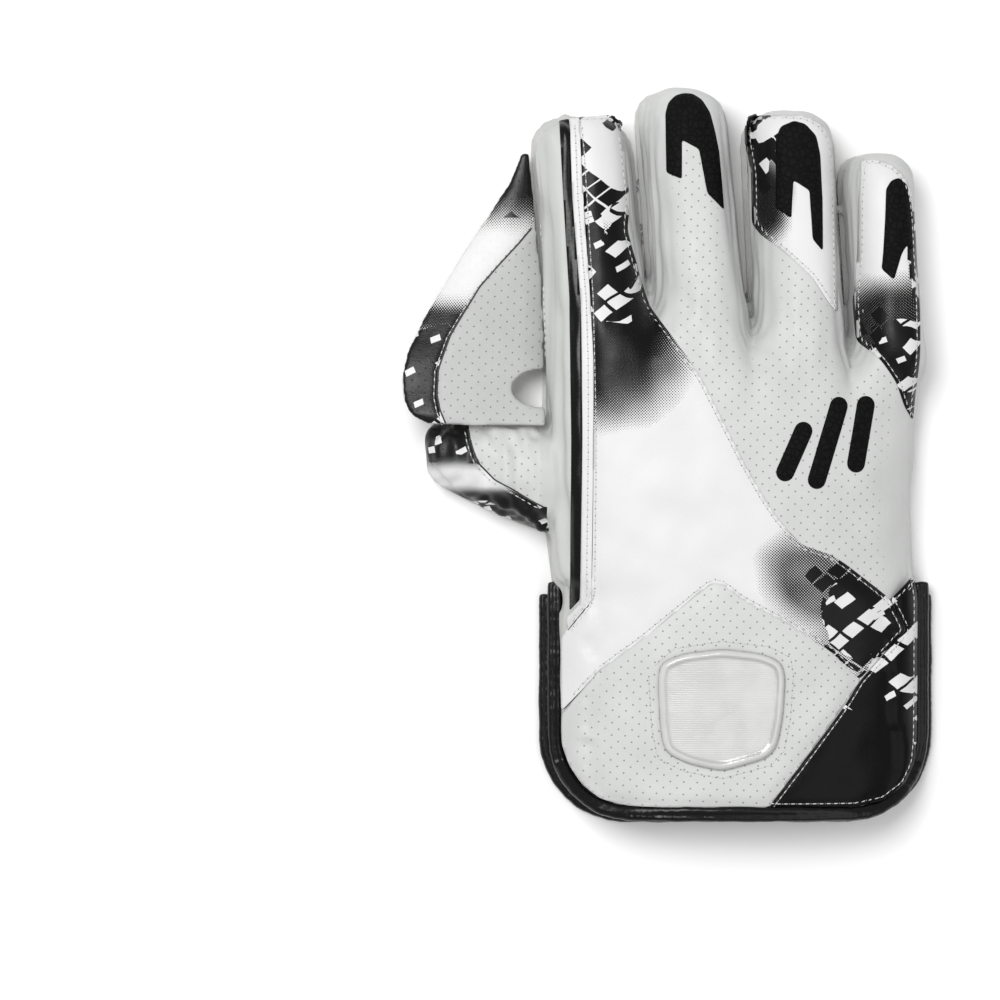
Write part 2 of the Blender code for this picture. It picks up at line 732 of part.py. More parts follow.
def finger_plan(finger):
    """A stall's foot in plan, from its left root round the tip to its right root."""
    root, length = finger_root_y(finger), finger_length(finger)
    straight = 1 - TIP_LENGTH / length
    rows = [(0.0, 1.0), (straight * 0.5, 1.0)]
    rows += [(straight + tip.along * (1 - straight), tip.width) for tip in TIP_SECTIONS]
    left, right = [], []
    for along, width in rows:
        x, half, _ = finger_frame(finger, along)
        y = root + length * along
        left.append((x - half * width, y))
        right.append((x + half * width, y))
    return left + right[::-1]


def palm_lift(x, y):
    """How far the palm's pocket rises off the floor, none near its edges."""
    across = (x - HAND_CENTRE_X) / (HAND_WIDTH * 0.40)
    along = (y - WRIST_Y - HAND_LENGTH * 0.5) / (HAND_LENGTH * 0.42)
    away = across**2 + along**2
    return PALM_CUP * (1 - away) ** 2 if away < 1 else 0.0


def build_palm(material, collection):
    """The rubber palm face in one sheet, under the hand, the fingers and the thumb."""
    bm = outline_face(palm_outline())
    slice_in_squares(bm, PALM_STEP)
    for vert in bm.verts:
        vert.co.z = palm_lift(vert.co.x, vert.co.y)
    mesh = bpy.data.meshes.new("palm_face")
    bm.to_mesh(mesh)
    bm.free()
    obj = add_object("palm_face", mesh, material, collection)
    add_solidify(obj, RUBBER, offset=1.0)
    return obj


def build_cuff_palm(material, collection):
    """The cuff's padded palm side, flat on the floor."""
    grow = BINDING_STEP * 0.75
    outline = [(x - BINDING_STEP / 4, y) for x, y in cuff_outline(grow, WRIST_Y - GAP)]
    bm = outline_face(outline)
    mesh = bpy.data.meshes.new("cuff_palm")
    bm.to_mesh(mesh)
    bm.free()
    obj = add_object("cuff_palm", mesh, material, collection)
    add_solidify(obj, CUFF_PAD, offset=1.0)
    return obj


def web_rows(drop):
    """The web's rows of points from its seam at the index finger to its rim, lowered by drop."""
    index = FINGERS[-1]
    top_y = THUMB_Y + THUMB_WIDTH / 2 - WEB_LAP + WEB_LENGTH
    base_x = hand_left(1.0) - STALL_GAP
    rows = []
    for section in WEB_SECTIONS:
        y = top_y - WEB_LENGTH * section.along
        if y > KNUCKLE_Y:
            x, half, _ = finger_frame(index, (y - KNUCKLE_Y) / finger_length(index))
            seam_x = x - half - STALL_GAP
        else:
            seam_x = hand_left((y - WRIST_Y) / HAND_LENGTH) - STALL_GAP
        rim_x = min(base_x - WEB_REACH * section.reach, seam_x - 2 * LEATHER)
        row = []
        for i in range(7):
            share = i / 6
            bow = 4 * share * (1 - share)
            straight = mix(section.seam, section.rim, share)
            height = straight + (section.middle - mix(section.seam, section.rim, 0.5)) * bow
            row.append((mix(seam_x, rim_x, share), y, WEB_HEIGHT * height - drop))
        rows.append(row)
    return rows[::-1]


def build_web(leather, rubber, collection, cutters):
    """The web's leather back and its rubber face, with the hole at the crotch cut through both."""
    hole = build_web_hole(leather, cutters)
    for name, drop, thickness, material in (
        ("web_back", 0.0, LEATHER, leather),
        ("web_face", LEATHER + 2 * GAP, WEB_RUBBER, rubber),
    ):
        obj = add_object(name, grid_mesh(name, web_rows(drop)), material, collection)
        add_solidify(obj, thickness)
        cut = obj.modifiers.new("crotch_hole", "BOOLEAN")
        cut.object = hole
        shade(obj)


def build_web_hole(material, cutters):
    """An oval cutter that stands upright at the seam, so that it cuts a D-shaped hole."""
    bm = bmesh.new()
    bmesh.ops.create_cone(bm, cap_ends=True, segments=24, radius1=1.0, radius2=1.0, depth=1.0)
    bmesh.ops.scale(bm, vec=(WEB_HOLE_REACH, WEB_HOLE_LENGTH / 2, 0.1), verts=bm.verts)
    x = hand_left((WEB_HOLE_Y - WRIST_Y) / HAND_LENGTH)
    bmesh.ops.translate(bm, vec=(x, WEB_HOLE_Y, 0.03), verts=bm.verts)
    mesh = bpy.data.meshes.new("crotch_hole")
    bm.to_mesh(mesh)
    bm.free()
    cutter = add_object("crotch_hole", mesh, material, cutters)
    cutter.hide_render = True
    cutter.display_type = "WIRE"
    return cutter


def main():
    """Builds every piece of the glove."""
    clear_scene()
    glove = make_collection("wicketkeeping_glove")
    cutters = make_collection("cutters", hidden=True)
    leather = make_material("back_leather", (0.80, 0.82, 0.80), 0.55)
    white = make_material("white_leather", (0.90, 0.91, 0.90), 0.40)
    black = make_material("black_binding", (0.015, 0.016, 0.016), 0.35)
    mesh_black = make_material("black_mesh", (0.020, 0.022, 0.024), 0.70)
    rubber = make_material("palm_rubber", (0.78, 0.78, 0.75), 0.65)
    clear = make_material("badge_plastic", (0.88, 0.89, 0.87), 0.15)

    hand = build_hand(leather, glove, cutters)
    stalls = {finger.name: build_stall(finger, leather, glove) for finger in FINGERS}
    build_thumb(leather, glove)
    cuff = build_cuff_back(leather, glove)
    build_cuff_palm(leather, glove)
    build_palm(rubber, glove)
    build_web(leather, rubber, glove, cutters)
    build_bindings(black, glove)

    bpy.context.view_layer.update()
    tree = base_tree([hand, cuff, *stalls.values()])
    shield = build_overlay("shield_panel", on_cuff(SHIELD_OUTLINE), tree, white, glove)
    build_overlay("corner_panel", on_cuff(CORNER_OUTLINE), tree, black, glove)
    for vent in VENTS:
        build_overlay(vent.name, vent_outline(vent), tree, mesh_black, glove)
    for pad in PADS:
        build_overlay(pad.finger + "_pad", pad_outline(pad), tree, mesh_black, glove)
    build_overlay("side_strip", band_outline(STRIP_INSET, STRIP_WIDTH), tree, black, glove)
    piping_at = STRIP_INSET + STRIP_WIDTH + 2 * GAP
    build_overlay("side_piping", band_outline(piping_at, PIPING_WIDTH), tree, white, glove)

    bpy.context.view_layer.update()
    build_overlay("badge", badge_outline(), base_tree([shield]), clear, glove, BADGE_THICKNESS)


main()
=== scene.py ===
import logging
import math
from dataclasses import dataclass, field
from enum import Enum
from typing import Callable

import bmesh
import bpy
import numpy as np
from mathutils import Matrix, Vector
from mathutils.bvhtree import BVHTree


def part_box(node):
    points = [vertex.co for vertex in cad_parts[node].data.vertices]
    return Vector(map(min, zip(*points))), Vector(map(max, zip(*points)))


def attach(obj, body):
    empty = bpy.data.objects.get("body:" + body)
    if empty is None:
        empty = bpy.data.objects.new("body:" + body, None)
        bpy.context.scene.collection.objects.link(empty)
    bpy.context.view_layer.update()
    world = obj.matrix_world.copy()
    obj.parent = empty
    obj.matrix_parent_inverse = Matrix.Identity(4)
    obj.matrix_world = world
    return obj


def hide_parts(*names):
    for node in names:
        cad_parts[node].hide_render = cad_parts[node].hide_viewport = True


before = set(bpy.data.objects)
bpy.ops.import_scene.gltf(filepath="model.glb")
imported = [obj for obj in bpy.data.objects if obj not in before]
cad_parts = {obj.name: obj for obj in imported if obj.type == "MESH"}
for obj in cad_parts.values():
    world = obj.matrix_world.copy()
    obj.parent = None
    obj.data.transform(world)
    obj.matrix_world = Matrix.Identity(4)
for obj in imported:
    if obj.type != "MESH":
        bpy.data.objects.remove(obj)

LOG = logging.getLogger("glove")
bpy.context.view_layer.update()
MM = 0.001
Point = tuple[float, float]
Outline = tuple[Point, ...]
Colour = tuple[float, float, float, float]
Socket = bpy.types.NodeSocket
Value = Socket | float | tuple[float, ...]


class Slot(Enum):
    """The pieces' material slots."""

    BACK = "back_leather"
    WHITE = "white_leather"
    BLACK = "black_leather"
    MESH = "black_mesh"
    RUBBER = "palm_rubber"
    BADGE = "badge_plastic"


# ---- Outlines seen from above, in millimetres of the row frame ----

PRINT_OUTLINE: Outline = (
    (-43.7, 161.3), (-27.5, 163.0), (-22.5, 160.0), (-20.5, 143.2), (-18.0, 121.8), (-19.5, 107.6),
    (-17.0, 98.5), (-13.3, 86.2), (-8.5, 72.0), (-3.8, 63.9), (7.1, 48.2), (15.2, 36.3), (24.7, 17.3),
    (34.2, -1.7), (43.7, -18.3), (49.9, -27.8), (55.6, -34.9), (62.7, -42.0), (77.0, -46.8),
    (84.1, -51.5), (104.5, -67.2), (112.6, -82.4), (89.8, -105.7), (77.0, -92.9), (62.7, -83.4),
    (53.2, -77.7), (34.2, -67.7), (25.6, -61.0), (21.4, -59.6), (17.1, -62.0), (5.7, -71.5),
    (-13.3, -87.2), (-32.3, -101.4), (-50.5, -121.5), (-50.5, -86.0), (-38.0, -70.1), (-36.6, -63.4),
    (-36.1, 7.8), (-37.5, 74.3), (-41.8, 145.6),
)
SHIELD_OUTLINE: Outline = (
    (-50.5, -123.0), (-32.3, -100.5), (-13.3, -86.2), (5.7, -70.5), (17.6, -61.0), (21.4, -58.7),
    (25.6, -60.1), (34.2, -66.7), (53.2, -76.7), (62.7, -82.4), (77.0, -91.9), (91.2, -105.2),
    (82.6, -117.6), (62.7, -145.1), (46.9, -165.8), (34.2, -165.8), (-3.8, -165.8), (-19.8, -165.4),
    (-32.3, -162.4), (-40.9, -155.8), (-46.9, -147.0), (-50.3, -137.2),
)
CORNER_OUTLINE: Outline = (
    (105.0, -67.7), (113.0, -82.4), (90.7, -105.7), (83.1, -117.6), (62.7, -145.1), (46.9, -165.8),
    (88.2, -165.8), (102.4, -163.2), (112.4, -156.0), (117.6, -146.0), (118.8, -134.7),
    (118.9, -115.7), (118.9, -87.2), (118.9, -66.4), (116.8, -57.0),
)
RING_OUTLINE: Outline = (
    (38.0, 161.0), (42.0, 162.8), (50.0, 162.2), (64.1, 161.8), (72.5, 158.3), (77.5, 151.1),
    (79.6, 138.8), (80.2, 102.8), (80.4, 67.8), (76.0, 72.0), (67.5, 84.8), (55.6, 95.7),
    (44.3, 105.6), (41.0, 111.4), (40.4, 136.1), (38.0, 150.3),
)
LITTLE_OUTLINE: Outline = (
    (92.2, 141.2), (99.0, 141.2), (106.4, 138.0), (112.1, 132.7), (115.6, 125.5), (117.2, 115.1),
    (118.6, 88.6), (119.4, 69.6), (119.4, 55.3), (118.4, 31.6), (117.3, 17.0), (112.6, 23.5),
    (107.8, 35.4), (100.7, 45.4), (90.8, 55.0), (89.3, 74.3), (90.8, 98.1), (90.8, 121.8),
)
MIDDLE_PAD_OUTLINE: Outline = (
    (-1.4, 162.2), (0.0, 167.4), (3.3, 170.8), (7.1, 172.0), (11.4, 171.8), (15.7, 169.0),
    (19.5, 162.8), (21.8, 154.1), (23.8, 144.6), (25.2, 129.0), (26.1, 116.6), (18.1, 124.2),
    (14.2, 145.1), (6.2, 149.4), (6.2, 130.9), (-0.9, 134.2),
)
RING_PAD_OUTLINE: Outline = (
    (50.8, 150.3), (53.2, 156.1), (59.4, 158.8), (64.6, 157.4), (69.8, 151.8), (71.7, 142.7),
    (72.7, 121.8), (72.7, 97.1), (67.9, 102.4), (66.5, 125.6), (58.9, 130.4), (57.9, 112.3),
    (50.8, 117.6),
)
LITTLE_PAD_OUTLINE: Outline = (
    (103.0, 126.6), (105.5, 130.6), (109.2, 132.0), (113.0, 129.0), (115.3, 119.5), (116.6, 110.0),
    (116.0, 97.6), (112.8, 100.0), (110.4, 96.2), (106.6, 83.4), (100.9, 88.6), (101.7, 97.1),
    (102.4, 110.0),
)
STRIP_OUTLINE: Outline = (
    (-51.8, 159.5), (-47.0, 160.3), (-45.6, 121.8), (-41.8, 74.3), (-40.9, 45.8), (-40.9, 7.8),
    (-41.8, -68.2), (-46.5, -73.4), (-46.1, 7.8), (-47.0, 74.3), (-49.9, 121.8),
)
PIPING_OUTLINE: Outline = (
    (-46.9, 160.4), (-42.2, 161.0), (-40.4, 121.8), (-37.0, 74.3), (-35.6, 45.8), (-35.6, 7.8),
    (-36.4, -68.6), (-47.5, -82.9), (-47.7, -77.0), (-41.3, -69.7), (-40.7, 7.8), (-41.4, 74.3),
    (-45.4, 121.8),
)
BADGE_OUTLINE: Outline = (
    (-3.9, -97.2), (5.7, -93.0), (24.7, -90.6), (43.7, -92.8), (52.6, -96.8), (54.6, -104.0),
    (53.4, -123.0), (50.6, -137.2), (45.4, -142.6), (24.7, -148.6), (8.4, -145.0), (-2.4, -139.6),
    (-4.6, -127.0), (-5.6, -104.0),
)
WEB_SEAM: Outline = (
    (-62.0, 116.4), (-64.2, 110.3), (-70.3, 102.8), (-79.8, 92.4), (-89.3, 81.5), (-98.8, 65.8),
    (-103.5, 57.7), (-106.9, 48.2), (-109.2, 41.1), (-109.7, 29.2), (-108.3, 22.1), (-105.5, 15.4),
)
THUMB_SEAM: Outline = (
    (-95.0, 13.5), (-94.0, 7.8), (-91.7, 0.7), (-89.3, -4.0), (-82.2, -11.2), (-75.0, -15.0),
    (-65.5, -20.7), (-58.5, -24.4),
)
INDEX_WALL_SEAM: Outline = ((-60.4, 112.0), (-59.6, 90.0), (-58.4, 62.0), (-58.0, 44.0))
PIPING_SEAM: Outline = (
    (-44.4, 158.0), (-43.0, 121.8), (-39.2, 74.3), (-38.2, 45.8), (-38.2, 7.8), (-39.0, -69.5),
    (-46.8, -80.0),
)
BADGE_SEAM: Outline = (
    (-7.4, -99.0), (2.2, -90.6), (24.7, -87.2), (46.6, -89.6), (57.0, -94.8), (58.4, -104.0),
    (57.0, -124.0), (54.0, -139.0), (47.4, -145.8), (24.7, -152.0), (7.0, -148.6), (-5.6, -142.4),
    (-8.4, -127.0), (-9.6, -104.0),
)

# Below CUFF_TOP the cuff rolls down into its binding, and left of BINDING_SIDE too.
CUFF_TOP = -58.0
BINDING_SIDE = -46.0

# How far beside the web's and the thumb's seam their stitches run.
SEAM_STEP = (1.6, 1.0)

# How much of a side a rounded corner takes at most, and where along it its points are.
CORNER_SHARE = 0.42
CORNER_STEPS = (0.0, 0.35, 0.65, 1.0)


# ---- Points, distances and soft waves ----


def rounded(outline: Outline, radius: float) -> list[Point]:
    """Rounds an outline's corners.

    Args:
        outline: the corners, in millimetres, in order round the shape.
        radius: how far from a corner its curve starts at most, in millimetres.

    Returns:
        The points of the rounded outline.
    """
    points: list[Point] = []
    count = len(outline)
    for i, corner in enumerate(outline):
        here = Vector(corner)
        before = Vector(outline[i - 1]) - here
        after = Vector(outline[(i + 1) % count]) - here
        start = here + before.normalized() * min(radius, CORNER_SHARE * before.length)
        end = here + after.normalized() * min(radius, CORNER_SHARE * after.length)
        for t in CORNER_STEPS:
            spot = start.lerp(here, t).lerp(here.lerp(end, t), t)
            points.append((spot.x, spot.y))
    return points


def spaced(line: list[Point], pitch: float, closed: bool = False) -> list[tuple[Point, Point]]:
    """Walks along a line at an even pitch.

    Args:
        line: the line's points.
        pitch: the distance between two stops.
        closed: whether the line comes back to its start.

    Returns:
        For each stop its place and the line's unit direction there.
    """
    ends = np.array(line + line[:1] if closed else line, float)
    steps = np.diff(ends, axis=0)
    lengths = np.hypot(steps[:, 0], steps[:, 1])
    travelled = np.concatenate([[0.0], np.cumsum(lengths)])
    stops = []
    for at in np.arange(pitch / 2, travelled[-1], pitch):
        i = min(int(np.searchsorted(travelled, at, "right")) - 1, len(steps) - 1)
        way = steps[i] / max(lengths[i], 1e-9)
        spot = ends[i] + way * (at - travelled[i])
        stops.append(((float(spot[0]), float(spot[1])), (float(way[0]), float(way[1]))))
    return stops


def line_distance(places: np.ndarray, line: list[Point], closed: bool = False) -> np.ndarray:
    """Gives each place's distance from a line, both seen from above.

    Args:
        places: the x and y of the places, in millimetres.
        line: the line's points, in millimetres.
        closed: whether the line comes back to its start.

    Returns:
        The distances in millimetres.
    """
    ends = np.array(line + line[:1] if closed else line, float)
    nearest = np.full(len(places), 1e9)
    for a, b in zip(ends[:-1], ends[1:]):
        way = b - a
        share = np.clip(((places - a) @ way) / max(way @ way, 1e-9), 0.0, 1.0)
        gap = places - (a + share[:, None] * way)
        nearest = np.minimum(nearest, np.hypot(gap[:, 0], gap[:, 1]))
    return nearest


def soft_waves(places: np.ndarray, length: float, seed: int, count: int = 9) -> np.ndarray:
    """Gives a smooth random relief from a few crossing waves.

    Args:
        places: the places in millimetres, each axis stretched as the folds are.
        length: the usual wave length in millimetres.
        seed: what the waves are drawn from.
        count: how many waves cross.

    Returns:
        A height for each place, mostly between -1 and 1.
    """
    draw = np.random.default_rng(seed)
    total = np.zeros(len(places))
    for _ in range(count):
        way = draw.normal(size=places.shape[1])
        way *= 2 * math.pi / (length * draw.uniform(0.7, 1.5) * np.linalg.norm(way))
        total += np.sin(places @ way + draw.uniform(0, 2 * math.pi))
    return total / math.sqrt(count)


def ramp(value: np.ndarray, low: float, high: float) -> np.ndarray:
    """Rises smoothly from 0 at low to 1 at high."""
    t = np.clip((value - low) / (high - low), 0.0, 1.0)
    return t * t * (3 - 2 * t)


def bell(value: np.ndarray, width: float) -> np.ndarray:
    """Falls smoothly from 1, where value is 0, to almost 0 at twice the width."""
    return np.exp(-((value / width) ** 2))


# ---- Meshes ----


def add_object(name: str, mesh: bpy.types.Mesh) -> bpy.types.Object:
    """Links a new object that shows mesh.

    Args:
        name: the object's name.
        mesh: what it shows.

    Returns:
        The object.
    """
    obj = bpy.data.objects.new(name, mesh)
    bpy.context.scene.collection.objects.link(obj)
    return obj


def finished(name: str, bm: bmesh.types.BMesh) -> bpy.types.Object:
    """Turns a bmesh into a smooth shaded object and frees the bmesh.

    Args:
        name: the object's name.
        bm: the shape, freed here.

    Returns:
        The object.
    """
    mesh = bpy.data.meshes.new(name)
    bm.to_mesh(mesh)
    bm.free()
    mesh.shade_smooth()
    return add_object(name, mesh)


def node_copy(node: str) -> bmesh.types.BMesh:
    """Copies a frame node's mesh and merges its loose triangles.

    Args:
        node: the node's name.

    Returns:
        The merged copy.
    """
    bm = bmesh.new()
    bm.from_mesh(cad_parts[node].data)
    bmesh.ops.remove_doubles(bm, verts=bm.verts, dist=0.01 * MM)
    return bm


def joined(parts: list[bmesh.types.BMesh]) -> bmesh.types.BMesh:
    """Puts several bmeshes into the first and frees the others.

    Args:
        parts: the shapes, of which the first is kept.

    Returns:
        The first, with all of them in it.
    """
    whole = parts[0]
    for part in parts[1:]:
        mesh = bpy.data.meshes.new("part")
        part.to_mesh(mesh)
        part.free()
        whole.from_mesh(mesh)
        bpy.data.meshes.remove(mesh)
    return whole


def apply_modifiers(obj: bpy.types.Object) -> None:
    """Keeps what the object's modifiers make as its own mesh.

    Args:
        obj: the object.
    """
    depsgraph = bpy.context.evaluated_depsgraph_get()
    made = bpy.data.meshes.new_from_object(obj.evaluated_get(depsgraph))
    obj.modifiers.clear()
    old, obj.data = obj.data, made
    bpy.data.meshes.remove(old)


def skin_over(name: str, bm: bmesh.types.BMesh, voxel: float, rounds: int) -> bpy.types.Object:
    """Joins overlapping shapes under one smooth skin.

    Args:
        name: the piece's name.
        bm: the overlapping closed shapes, freed here.
        voxel: the skin's fineness in metres.
        rounds: how many times the skin is smoothed.

    Returns:
        The object with the skin as its mesh.
    """
    obj = finished(name, bm)
    remesh = obj.modifiers.new("Skin", "REMESH")
    remesh.mode = "VOXEL"
    remesh.voxel_size = voxel
    apply_modifiers(obj)
    smooth(obj, rounds)
    return obj


def smooth(obj: bpy.types.Object, rounds: int, where: Callable[[Vector], bool] | None = None) -> None:
    """Smooths an object's mesh.

    Args:
        obj: the object.
        rounds: how many times it is smoothed.
        where: tells which points are smoothed, or None for all.
    """
    bm = bmesh.new()
    bm.from_mesh(obj.data)
    verts = [vert for vert in bm.verts if where is None or where(vert.co)]
    for _ in range(rounds):
        bmesh.ops.smooth_vert(bm, verts=verts, factor=0.5, use_axis_x=True, use_axis_y=True, use_axis_z=True)
    bm.to_mesh(obj.data)
    bm.free()
    obj.data.shade_smooth()


def places_of(mesh: bpy.types.Mesh) -> np.ndarray:
    """The mesh's points, in millimetres.

    Args:
        mesh: the mesh.

    Returns:
        A row for each point.
    """
    flat = np.zeros(len(mesh.vertices) * 3)
    mesh.vertices.foreach_get("co", flat)
    return flat.reshape(-1, 3) / MM


def normals_of(mesh: bpy.types.Mesh) -> np.ndarray:
    """The mesh's point normals.

    Args:
        mesh: the mesh.

    Returns:
        A row for each point.
    """
    flat = np.zeros(len(mesh.vertices) * 3)
    mesh.vertex_normals.foreach_get("vector", flat)
    return flat.reshape(-1, 3)


def tree_of(mesh: bpy.types.Mesh) -> BVHTree:
    """A search tree over the mesh's faces."""
    corners = [tuple(face.vertices) for face in mesh.polygons]
    return BVHTree.FromPolygons([tuple(vert.co) for vert in mesh.vertices], corners)


def put_places(mesh: bpy.types.Mesh, places: np.ndarray) -> None:
    """Moves the mesh's points to places in millimetres."""
    mesh.vertices.foreach_set("co", (places * MM).ravel())
    mesh.update()


def paint(mesh: bpy.types.Mesh, name: str, values: np.ndarray) -> None:
    """Keeps a value for each point as a named attribute that finishes read."""
    layer = mesh.attributes.get(name) or mesh.attributes.new(name, "FLOAT", "POINT")
    layer.data.foreach_set("value", np.asarray(values, np.float32))


def scattered(name: str, template: bmesh.types.BMesh, places: list[Matrix]) -> bpy.types.Object:
    """Repeats one small shape at many places in one mesh.

    Args:
        name: the piece's name.
        template: the small shape, freed here.
        places: where each copy goes.

    Returns:
        The object that holds every copy.
    """
    seed = bpy.data.meshes.new(name + "_one")
    template.to_mesh(seed)
    template.free()
    bm = bmesh.new()
    count = len(seed.vertices)
    for place in places:
        bm.from_mesh(seed)
        bm.verts.ensure_lookup_table()
        bmesh.ops.transform(bm, matrix=place, verts=bm.verts[-count:])
    bpy.data.meshes.remove(seed)
    return finished(name, bm)


class Surface:
    """What panels and stitches are laid on, read from above or from a nearby point.

    Its heights are in metres: where the rays start, the lowest top that counts, and the middle.
    """

    SKY: float = 0.2
    LOWEST: float = 0.009
    HALF_HEIGHT: float = 0.022

    def __init__(self, *pieces: bpy.types.Object) -> None:
        """Reads the finished meshes of the pieces.

        Args:
            pieces: what the surface is made of.
        """
        depsgraph = bpy.context.evaluated_depsgraph_get()
        self.layers: list[tuple[BVHTree, np.ndarray, list[tuple[int, ...]]]] = []
        for piece in pieces:
            mesh = piece.evaluated_get(depsgraph).to_mesh()
            corners = [tuple(face.vertices) for face in mesh.polygons]
            self.layers.append((tree_of(mesh), normals_of(mesh), corners))

    def rest(self, x: float, y: float) -> tuple[Vector, Vector]:
        """Finds the top of the surface under a point.

        Args:
            x: the point's place across, in metres.
            y: the point's place along, in metres.

        Returns:
            The resting point and the smooth normal there.
        """
        best: tuple[Vector, Vector] | None = None
        for tree, normals, corners in self.layers:
            spot, _, face, _ = tree.ray_cast(Vector((x, y, self.SKY)), Vector((0, 0, -1)))
            if spot is not None and (best is None or spot.z > best[0].z):
                best = (spot, Vector(normals[list(corners[face])].mean(axis=0)).normalized())
        if best is not None and best[0].z > self.LOWEST:
            return best
        return self.nearest(Vector((x, y, self.HALF_HEIGHT)))

    def nearest(self, spot: Vector) -> tuple[Vector, Vector]:
        """The closest surface point to spot, and the smooth normal there.

        Args:
            spot: the place to start from, in metres.

        Returns:
            The point and the normal.
        """
        found = []
        for tree, normals, corners in self.layers:
            place, _, face, gap = tree.find_nearest(spot)
            found.append((gap, place, Vector(normals[list(corners[face])].mean(axis=0))))
        _, place, normal = min(found, key=lambda row: row[0])
        return place, normal.normalized()


# ---- Finishes ----


# How far a print moves on for each millimetre that a wall goes down.
WALL_RUN = 0.35


class Painter:
    """Builds one material, with short calls for the shader nodes that the finishes use."""

    def __init__(self, name: str) -> None:
        """Starts a material with its Principled shader.

        Args:
            name: the material's name.
        """
        self.material = bpy.data.materials.new(name)
        self.material.use_nodes = True
        self.tree = self.material.node_tree
        self.shader = self.tree.nodes["Principled BSDF"]
        where = self.node("TexCoord", {})
        self.spot = self.vector("SCALE", where.outputs["Object"], scale=1 / MM)

    def node(self, kind: str, sources: dict, **settings: object) -> bpy.types.Node:
        """Adds a shader node.

        Args:
            kind: the node's type, without its ShaderNode prefix.
            sources: for each input, by name or number, a value or another node's socket.
            settings: the node's own settings.

        Returns:
            The new node.
        """
        made = self.tree.nodes.new("ShaderNode" + kind)
        for key, value in settings.items():
            setattr(made, key, value)
        for key, value in sources.items():
            if isinstance(value, Socket):
                self.tree.links.new(value, made.inputs[key])
            else:
                made.inputs[key].default_value = value
        return made

    def math(self, operation: str, *values: Value) -> Socket:
        """A Math node's result."""
        return self.node("Math", dict(enumerate(values)), operation=operation).outputs[0]

    def vector(self, operation: str, *values: Value, scale: float | None = None) -> Socket:
        """A Vector Math node's vector result.

        Args:
            operation: the node's operation.
            values: its inputs in order.
            scale: the factor, for the SCALE operation.

        Returns:
            The vector.
        """
        sources = dict(enumerate(values))
        if scale is not None:
            sources["Scale"] = scale
        return self.node("VectorMath", sources, operation=operation).outputs["Vector"]

    def length(self, value: Socket) -> Socket:
        """A vector's length."""
        return self.node("VectorMath", {0: value}, operation="LENGTH").outputs["Value"]

    def flat(
        self, turn: float, size: Point, shift: Point = (0.0, 0.0), spot: Socket | None = None
    ) -> Socket:
        """Plan coordinates, turned by some degrees and counted in cells of the given size.

        Args:
            turn: the turn in degrees.
            size: a cell's length and width in millimetres.
            shift: how far the cells are moved, in cells.
            spot: the coordinates, or None for the plain ones.

        Returns:
            The coordinates in cells.
        """
        node = self.node(
            "Mapping",
            {
                "Vector": spot or self.spot,
                "Rotation": (0.0, 0.0, math.radians(turn)),
                "Scale": (1 / size[0], 1 / size[1], 0.0),
                "Location": (shift[0], shift[1], 0.0),
            },
        )
        return node.outputs[0]

    def wrapped(self) -> Socket:
        """Plan coordinates that move on with height, so that a print runs down a steep wall."""
        down = self.math("MULTIPLY", self.node("SeparateXYZ", {0: self.spot}).outputs["Z"], WALL_RUN)
        return self.vector("ADD", self.spot, self.node("CombineXYZ", {0: down, 1: down}).outputs[0])

    def noise(self, length: float, detail: float = 2.0) -> Socket:
        """A noise value of about that grain length in millimetres.

        Args:
            length: the grain length.
            detail: how much finer noise is added.

        Returns:
            The value.
        """
        return self.node(
            "TexNoise",
            {"Vector": self.spot, "Scale": 1 / length, "Detail": detail, "Roughness": 0.55},
        ).outputs["Fac"]

    def cells(self, length: float, feature: str) -> Socket:
        """The distance field of cells of about that size in millimetres.

        Args:
            length: the cells' size.
            feature: which distance it is.

        Returns:
            The distance.
        """
        return self.node(
            "TexVoronoi", {"Vector": self.spot, "Scale": 1 / length}, feature=feature
        ).outputs["Distance"]

    def rise(self, value: Value, low: float, high: float, to: Point = (0.0, 1.0)) -> Socket:
        """Value mapped smoothly from low..high to the range to.

        Args:
            value: what is mapped.
            low: where the rise starts.
            high: where it ends.
            to: the results at low and at high.

        Returns:
            The result.
        """
        return self.node(
            "MapRange",
            {"Value": value, "From Min": low, "From Max": high, "To Min": to[0], "To Max": to[1]},
            interpolation_type="SMOOTHSTEP",
        ).outputs["Result"]

    def mix(self, share: Value, first: Value, second: Value) -> Socket:
        """A colour between first, at share 0, and second, at share 1."""
        node = self.node("Mix", {0: share, 6: first, 7: second}, data_type="RGBA")
        return node.outputs[2]

    def painted(self, name: str) -> Socket:
        """The value that was painted on the mesh under that name."""
        return self.node("Attribute", {}, attribute_name=name).outputs["Fac"]

    def upward(self) -> Socket:
        """How far the surface faces up, from -1 to 1."""
        geometry = self.node("NewGeometry", {})
        return self.node("SeparateXYZ", {0: geometry.outputs["Normal"]}).outputs["Z"]

    def finish(
        self, colour: Socket, roughness: Socket, height: Socket, depth: float, **fixed: float
    ) -> bpy.types.Material:
        """Connects the finished colour, roughness and relief.

        Args:
            colour: the base colour socket.
            roughness: the roughness socket.
            height: the relief socket, from 0 to 1.
            depth: the relief's full height in millimetres.
            fixed: values set on the shader's own inputs, with underscores for spaces.

        Returns:
            The material.
        """
        bump = self.node("Bump", {"Height": height, "Distance": depth * MM, "Strength": 1.0})
        links = self.tree.links
        links.new(colour, self.shader.inputs["Base Color"])
        links.new(roughness, self.shader.inputs["Roughness"])
        links.new(bump.outputs[0], self.shader.inputs["Normal"])
        for name, value in fixed.items():
            self.shader.inputs[name.replace("_", " ")].default_value = value
        return self.material


def grey(value: float, tint: tuple[float, float, float] = (1.0, 1.0, 1.0)) -> Colour:
    """An RGBA colour of one lightness, lightly tinted."""
    return (value * tint[0], value * tint[1], value * tint[2], 1.0)


